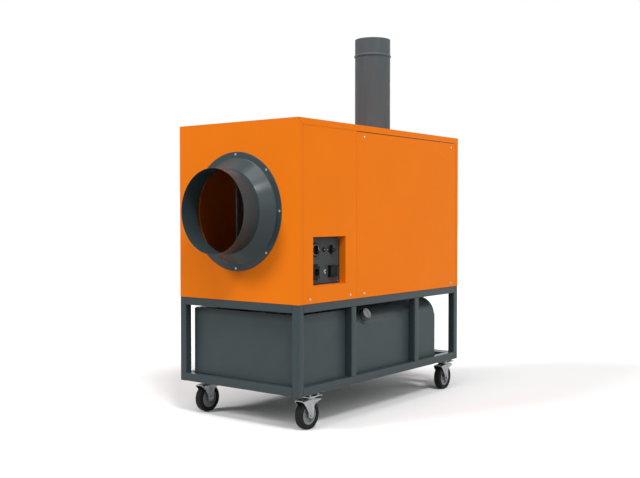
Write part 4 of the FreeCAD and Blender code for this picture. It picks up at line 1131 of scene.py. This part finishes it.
def make_tank_shade_pads():
    """Dark pads under the tank, in the gaps between the bearers that carry it: they close the slit below the tank,
    painted shade for the shaded floor seen through it.
    """
    low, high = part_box("fuel_tank")
    stops = []
    for first, last in solid_boxes("frame_bearers") + solid_boxes("frame_cross_rails"):
        if low.y < last.y and first.y < high.y and abs(last.z - low.z) < TANK_PAD:
            stops.append((first.y, last.y))
    stops.sort()
    starts = [low.y + TANK_ROUND] + [end + TANK_PAD_GAP for _, end in stops]
    ends = [start - TANK_PAD_GAP for start, _ in stops] + [high.y - TANK_EDGE]
    reach = -low.x - TANK_PAD_INSET
    bm = bmesh.new()
    for start, end in zip(starts, ends):
        if end - start > TANK_ROUND:
            # painted shade: each pad fills the slit below the tank with a dark piece
            block(bm, (-reach, start, low.z - TANK_PAD), (reach, end, low.z + TANK_PAD), TANK_PAD / 2)
    add_piece("fuel_tank_shade_pads", bm, "tank_plastic")


def make_filler_neck(place):
    """Filler neck on the boss that stands on the tank's shoulder."""
    bore = NECK_RADIUS - NECK_WALL
    foot, top = TANK_SHOULDER * BOSS_SUNK, BOSS_TOP + NECK_HEIGHT
    outline = [
        (bore, foot),
        (BOSS_RADIUS + BOSS_FOOT, foot),
        (BOSS_RADIUS + BOSS_FLARE, TANK_SHOULDER - BOSS_FLARE, FILLET),
        (BOSS_RADIUS, BOSS_TOP, SOFT_EDGE),
        (NECK_RADIUS, BOSS_TOP, FULL_EDGE),
        (NECK_RADIUS, top, EDGE),
        (bore, top, EDGE),
    ]
    add_piece("filler_neck_moulding", turned(outline, place), "tank_plastic", replaces=["filler_neck"])


def make_filler_thread(place):
    """Ridge that winds up the neck and fades out at both ends."""
    steps = int(THREAD_TURNS * SMALL_STEPS)
    bm = bmesh.new()
    rows = []
    for k in range(steps + 1):
        angle = 2 * pi * k / SMALL_STEPS
        fade = min(1.0, THREAD_FADE * k / SMALL_STEPS, THREAD_FADE * (steps - k) / SMALL_STEPS)
        row = []
        for rise, up in THREAD_SECTION:
            radius = NECK_RADIUS + rise * (max(fade, THREAD_LEAST) if rise > 0 else 1)
            height = BOSS_TOP + THREAD_START + THREAD_PITCH * k / SMALL_STEPS + up
            point = Vector((radius * cos(angle), radius * sin(angle), height))
            row.append(bm.verts.new(place @ point))
        rows.append(row)
    for row, after in zip(rows, rows[1:]):
        bridge(bm, row, after)
    bm.faces.new(rows[0])
    bm.faces.new(rows[-1])
    add_piece("filler_thread", bm, "tank_plastic")


def make_filler_cap(place):
    """Screw cap with grip ribs, and a bar in its dished top."""
    radius = half_span("filler_cap", 1)
    skirt, ceiling = BOSS_TOP + CAP_SKIRT, BOSS_TOP + CAP_CEILING
    top = ceiling + CAP_ROOF
    outline = [
        (0, ceiling),
        (CAP_BORE, ceiling),
        (CAP_BORE, skirt, HAIR_EDGE),
        (radius, skirt, FULL_EDGE),
        (radius, top, ROUND_EDGE),
        (radius - CAP_RIM[0], top, EDGE),
        (radius - CAP_RIM[1], top - CAP_DISH, EDGE),
        (0, top - CAP_DISH),
    ]
    bm = turned(outline, place, RIB_STEPS * CAP_RIBS[0], fluted(*CAP_RIBS), radius - FULL_EDGE)
    length, width, foot, crest = CAP_BAR
    block(bm, (-length, -width, top - foot), (length, width, top - crest), EDGE, place)
    add_piece("filler_cap_turned", bm, "cap_alloy", "filler_cap", ["filler_cap"])


# Controls


def facing(x, node):
    """Placement in line with a control, its Z out of the recess."""
    centre = middle(node)
    return standing((x, centre.y, centre.z), RIGHT)


def knob_mark(name, mark, tall, radius, base):
    """Pale line on top of a knob."""
    half, sunk, proud, edge = MARK
    start, inset = mark
    bm = bmesh.new()
    block(bm, (tall - sunk, -half, start), (tall + proud, half, radius - inset), edge, base)
    add_piece(name + "_mark", bm, "bright_metal", name)


def make_main_switch():
    """Ring, knob and bright trim, which is one piece with the reset button's nut."""
    place = facing(plate_face, "main_switch_knob")
    bm = bmesh.new()
    ring(bm, *SWITCH_RING, (FILLET, HAIR_EDGE), place, TURN_STEPS)
    add_piece("main_switch_ring", bm, "black_plastic")
    bm = bmesh.new()
    ring(bm, *SWITCH_TRIM, (THIN_EDGE, THIN_EDGE), place, TURN_STEPS)
    panel_nut(bm, RESET_NUT, facing(plate_face, "reset_button"))
    add_piece("control_bezels", bm, "bright_metal", replaces=["control_bushes"])

    low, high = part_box("main_switch_knob")
    centre = middle("main_switch_knob")
    radius = half_span("main_switch_knob", 1)
    tall = high.x - low.x
    base = Matrix.Translation((low.x, centre.y, centre.z))
    foot, half, inset = SWITCH_BAR
    reach = radius - inset
    bm = bmesh.new()
    ring(bm, 0, radius, SWITCH_DISC, [BLUNT_EDGE], facing(low.x, "main_switch_knob"))
    block(bm, (foot, -half, -reach), (tall, half, reach), ROUND_EDGE, base)
    add_piece("main_switch_grip", bm, "black_plastic", "main_switch", ["main_switch_knob"])
    knob_mark("main_switch", SWITCH_MARK, tall, radius, base)


def make_thermostat():
    """Fluted knob on a skirt with its mark, and the ticks of its dial."""
    low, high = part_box("thermostat_knob")
    centre = middle("thermostat_knob")
    radius = half_span("thermostat_knob", 1)
    grip = radius - KNOB_SKIRT
    tall = high.x - low.x
    place = facing(low.x, "thermostat_knob")
    rim, top = SKIRT_HEIGHTS
    skirt = [(0, 0), (radius, 0), (radius, rim, EDGE), (grip, top, SKIRT_FILLET), (0, top)]
    bm = turned(skirt, place)
    outline = [(0, GRIP_FOOT), (grip, GRIP_FOOT), (grip - GRIP_DRAFT, tall, GRIP_ROUND), (0, tall)]
    steps = RIB_STEPS * KNOB_FLUTES[0]
    lathe(bm, rounded(outline), place, steps, fluted(*KNOB_FLUTES), grip - FLUTE_REACH)
    add_piece("thermostat_grip", bm, "black_plastic", "thermostat", ["thermostat_knob"])
    base = Matrix.Translation((low.x, centre.y, centre.z))
    knob_mark("thermostat", KNOB_MARK, tall, grip, base)

    length, width, thick = TICK
    bm = bmesh.new()
    for k in range(DIAL_TICKS):
        angle = radians(DIAL_SWEEP * (k / (DIAL_TICKS - 1) - 0.5))
        turn = Matrix.Translation((plate_face, centre.y, centre.z)) @ Matrix.Rotation(angle, 4, "X")
        low_corner = (-thick / 2, -width / 2, DIAL_RADIUS - length / 2)
        block(bm, low_corner, (thick / 2, width / 2, DIAL_RADIUS + length / 2), thick / 4, turn)
    add_piece("dial_ticks", bm, "bright_metal")


def make_toggle():
    """Bat of the toggle on its ball, and its nut."""
    pivot = Vector(joint_spot("toggle_flip"))
    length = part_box("toggle_lever")[1].x - pivot.x
    tip, rounding = TOGGLE_TIP
    outline = [
        (0, -TOGGLE_BALL),
        (TOGGLE_BALL, -TOGGLE_BALL, TOGGLE_BALL),
        TOGGLE_NECK,
        TOGGLE_WAIST,
        (tip, length, rounding),
        (0, length),
    ]
    bm = turned(outline, standing(pivot, RIGHT), SMALL_STEPS)
    add_piece("toggle_bat", bm, "zinc", "toggle", ["toggle_lever"])
    bm = bmesh.new()
    panel_nut(bm, TOGGLE_NUT, facing(plate_face, "toggle_lever"))
    add_piece("toggle_nut", bm, "black_plastic")


def make_reset():
    low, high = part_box("reset_button")
    radius = half_span("reset_button", 1)
    tall = high.x - low.x
    outline = [
        (0, 0),
        (radius, 0),
        (radius, tall - RESET_CROWN, RESET_CROWN),
        (radius / 2, tall, FILLET),
        (0, tall),
    ]
    bm = turned(outline, facing(low.x, "reset_button"), SMALL_STEPS)
    add_piece("reset_cap", bm, "black_plastic", "reset", ["reset_button"])


def make_plate_trim():
    """Screws of the control plate, a dark strip round it as painted shade for the shadow in its gap, and the
    screws of the power inlet.
    """
    low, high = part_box("control_plate")
    inset = PLATE_SCREW_INSET
    bm = bmesh.new()
    ys, zs = (low.y + inset, high.y - inset), (low.z + inset, high.z - inset)
    screw_rows(bm, SMALL_SCREW, [plate_face], ys, zs, RIGHT)
    add_piece("plate_screws", bm, "zinc")
    # painted shade: a dark strip round the plate's edge stands in for the shadowed gap between plate and recess
    # wall
    width, rise = PLATE_SHADE_STRIP
    first, last = (plate_face - rise, low.y, low.z), (plate_face + rise, high.y, high.z)
    bm = bmesh.new()
    border(bm, first, last, width, rise / 2, across=1)
    add_piece("plate_shade_strip", bm, "black_plastic")
    low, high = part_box("power_inlet")
    aside, up = INLET_SCREW_INSET
    bm = bmesh.new()
    ys, zs = (low.y + aside, high.y - aside), (low.z + up, high.z - up)
    screw_rows(bm, SMALL_SCREW, [plate_face + INLET_FLANGE], ys, zs, RIGHT)
    add_piece("inlet_screws", bm, "black_plastic")


def make_lid_ribs():
    """Grip ribs and lifting lip of the socket's lid."""
    low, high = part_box("socket_lid")
    centre = middle("socket_lid").y
    face = Vector(joint_spot("socket_lid_open")).x + LID_FACE
    sunk, proud, width = LID_RIB
    first, pitch = LID_RIB_ROWS
    bm = bmesh.new()
    for k in range(LID_RIBS):
        z = low.z + first + pitch * k
        end = (face + proud, high.y - LID_RIB_INSET, z + width)
        block(bm, (face - sunk, low.y + LID_RIB_INSET, z), end, THIN_EDGE)
    behind, before, below, above = LID_LIP
    end = (face + before, centre + LID_LIP_HALF, low.z + above)
    block(bm, (face - behind, centre - LID_LIP_HALF, low.z - below), end, FULL_EDGE)
    add_piece("socket_lid_ribs", bm, "black_plastic", "socket_flap")


bpy.context.scene.view_settings.view_transform = "Standard"
make_camera()
make_world()
for name, (source, strength, spread) in LAMPS.items():
    make_sun(name, source, strength, spread)
make_floor()
finish_nodes()
soften_nodes()
make_frame()
make_castor_nuts()
make_castors()
make_outlet()
make_divider_bead()
make_flue()
make_panel_screws()
make_access_shade_strip()
make_tank()
make_tank_shade_pads()
filler = standing(joint_spot("filler_cap_turn"), FILLER_AXIS)
make_filler_neck(filler)
make_filler_thread(filler)
make_filler_cap(filler)
make_main_switch()
make_thermostat()
make_toggle()
make_reset()
make_plate_trim()
make_lid_ribs()
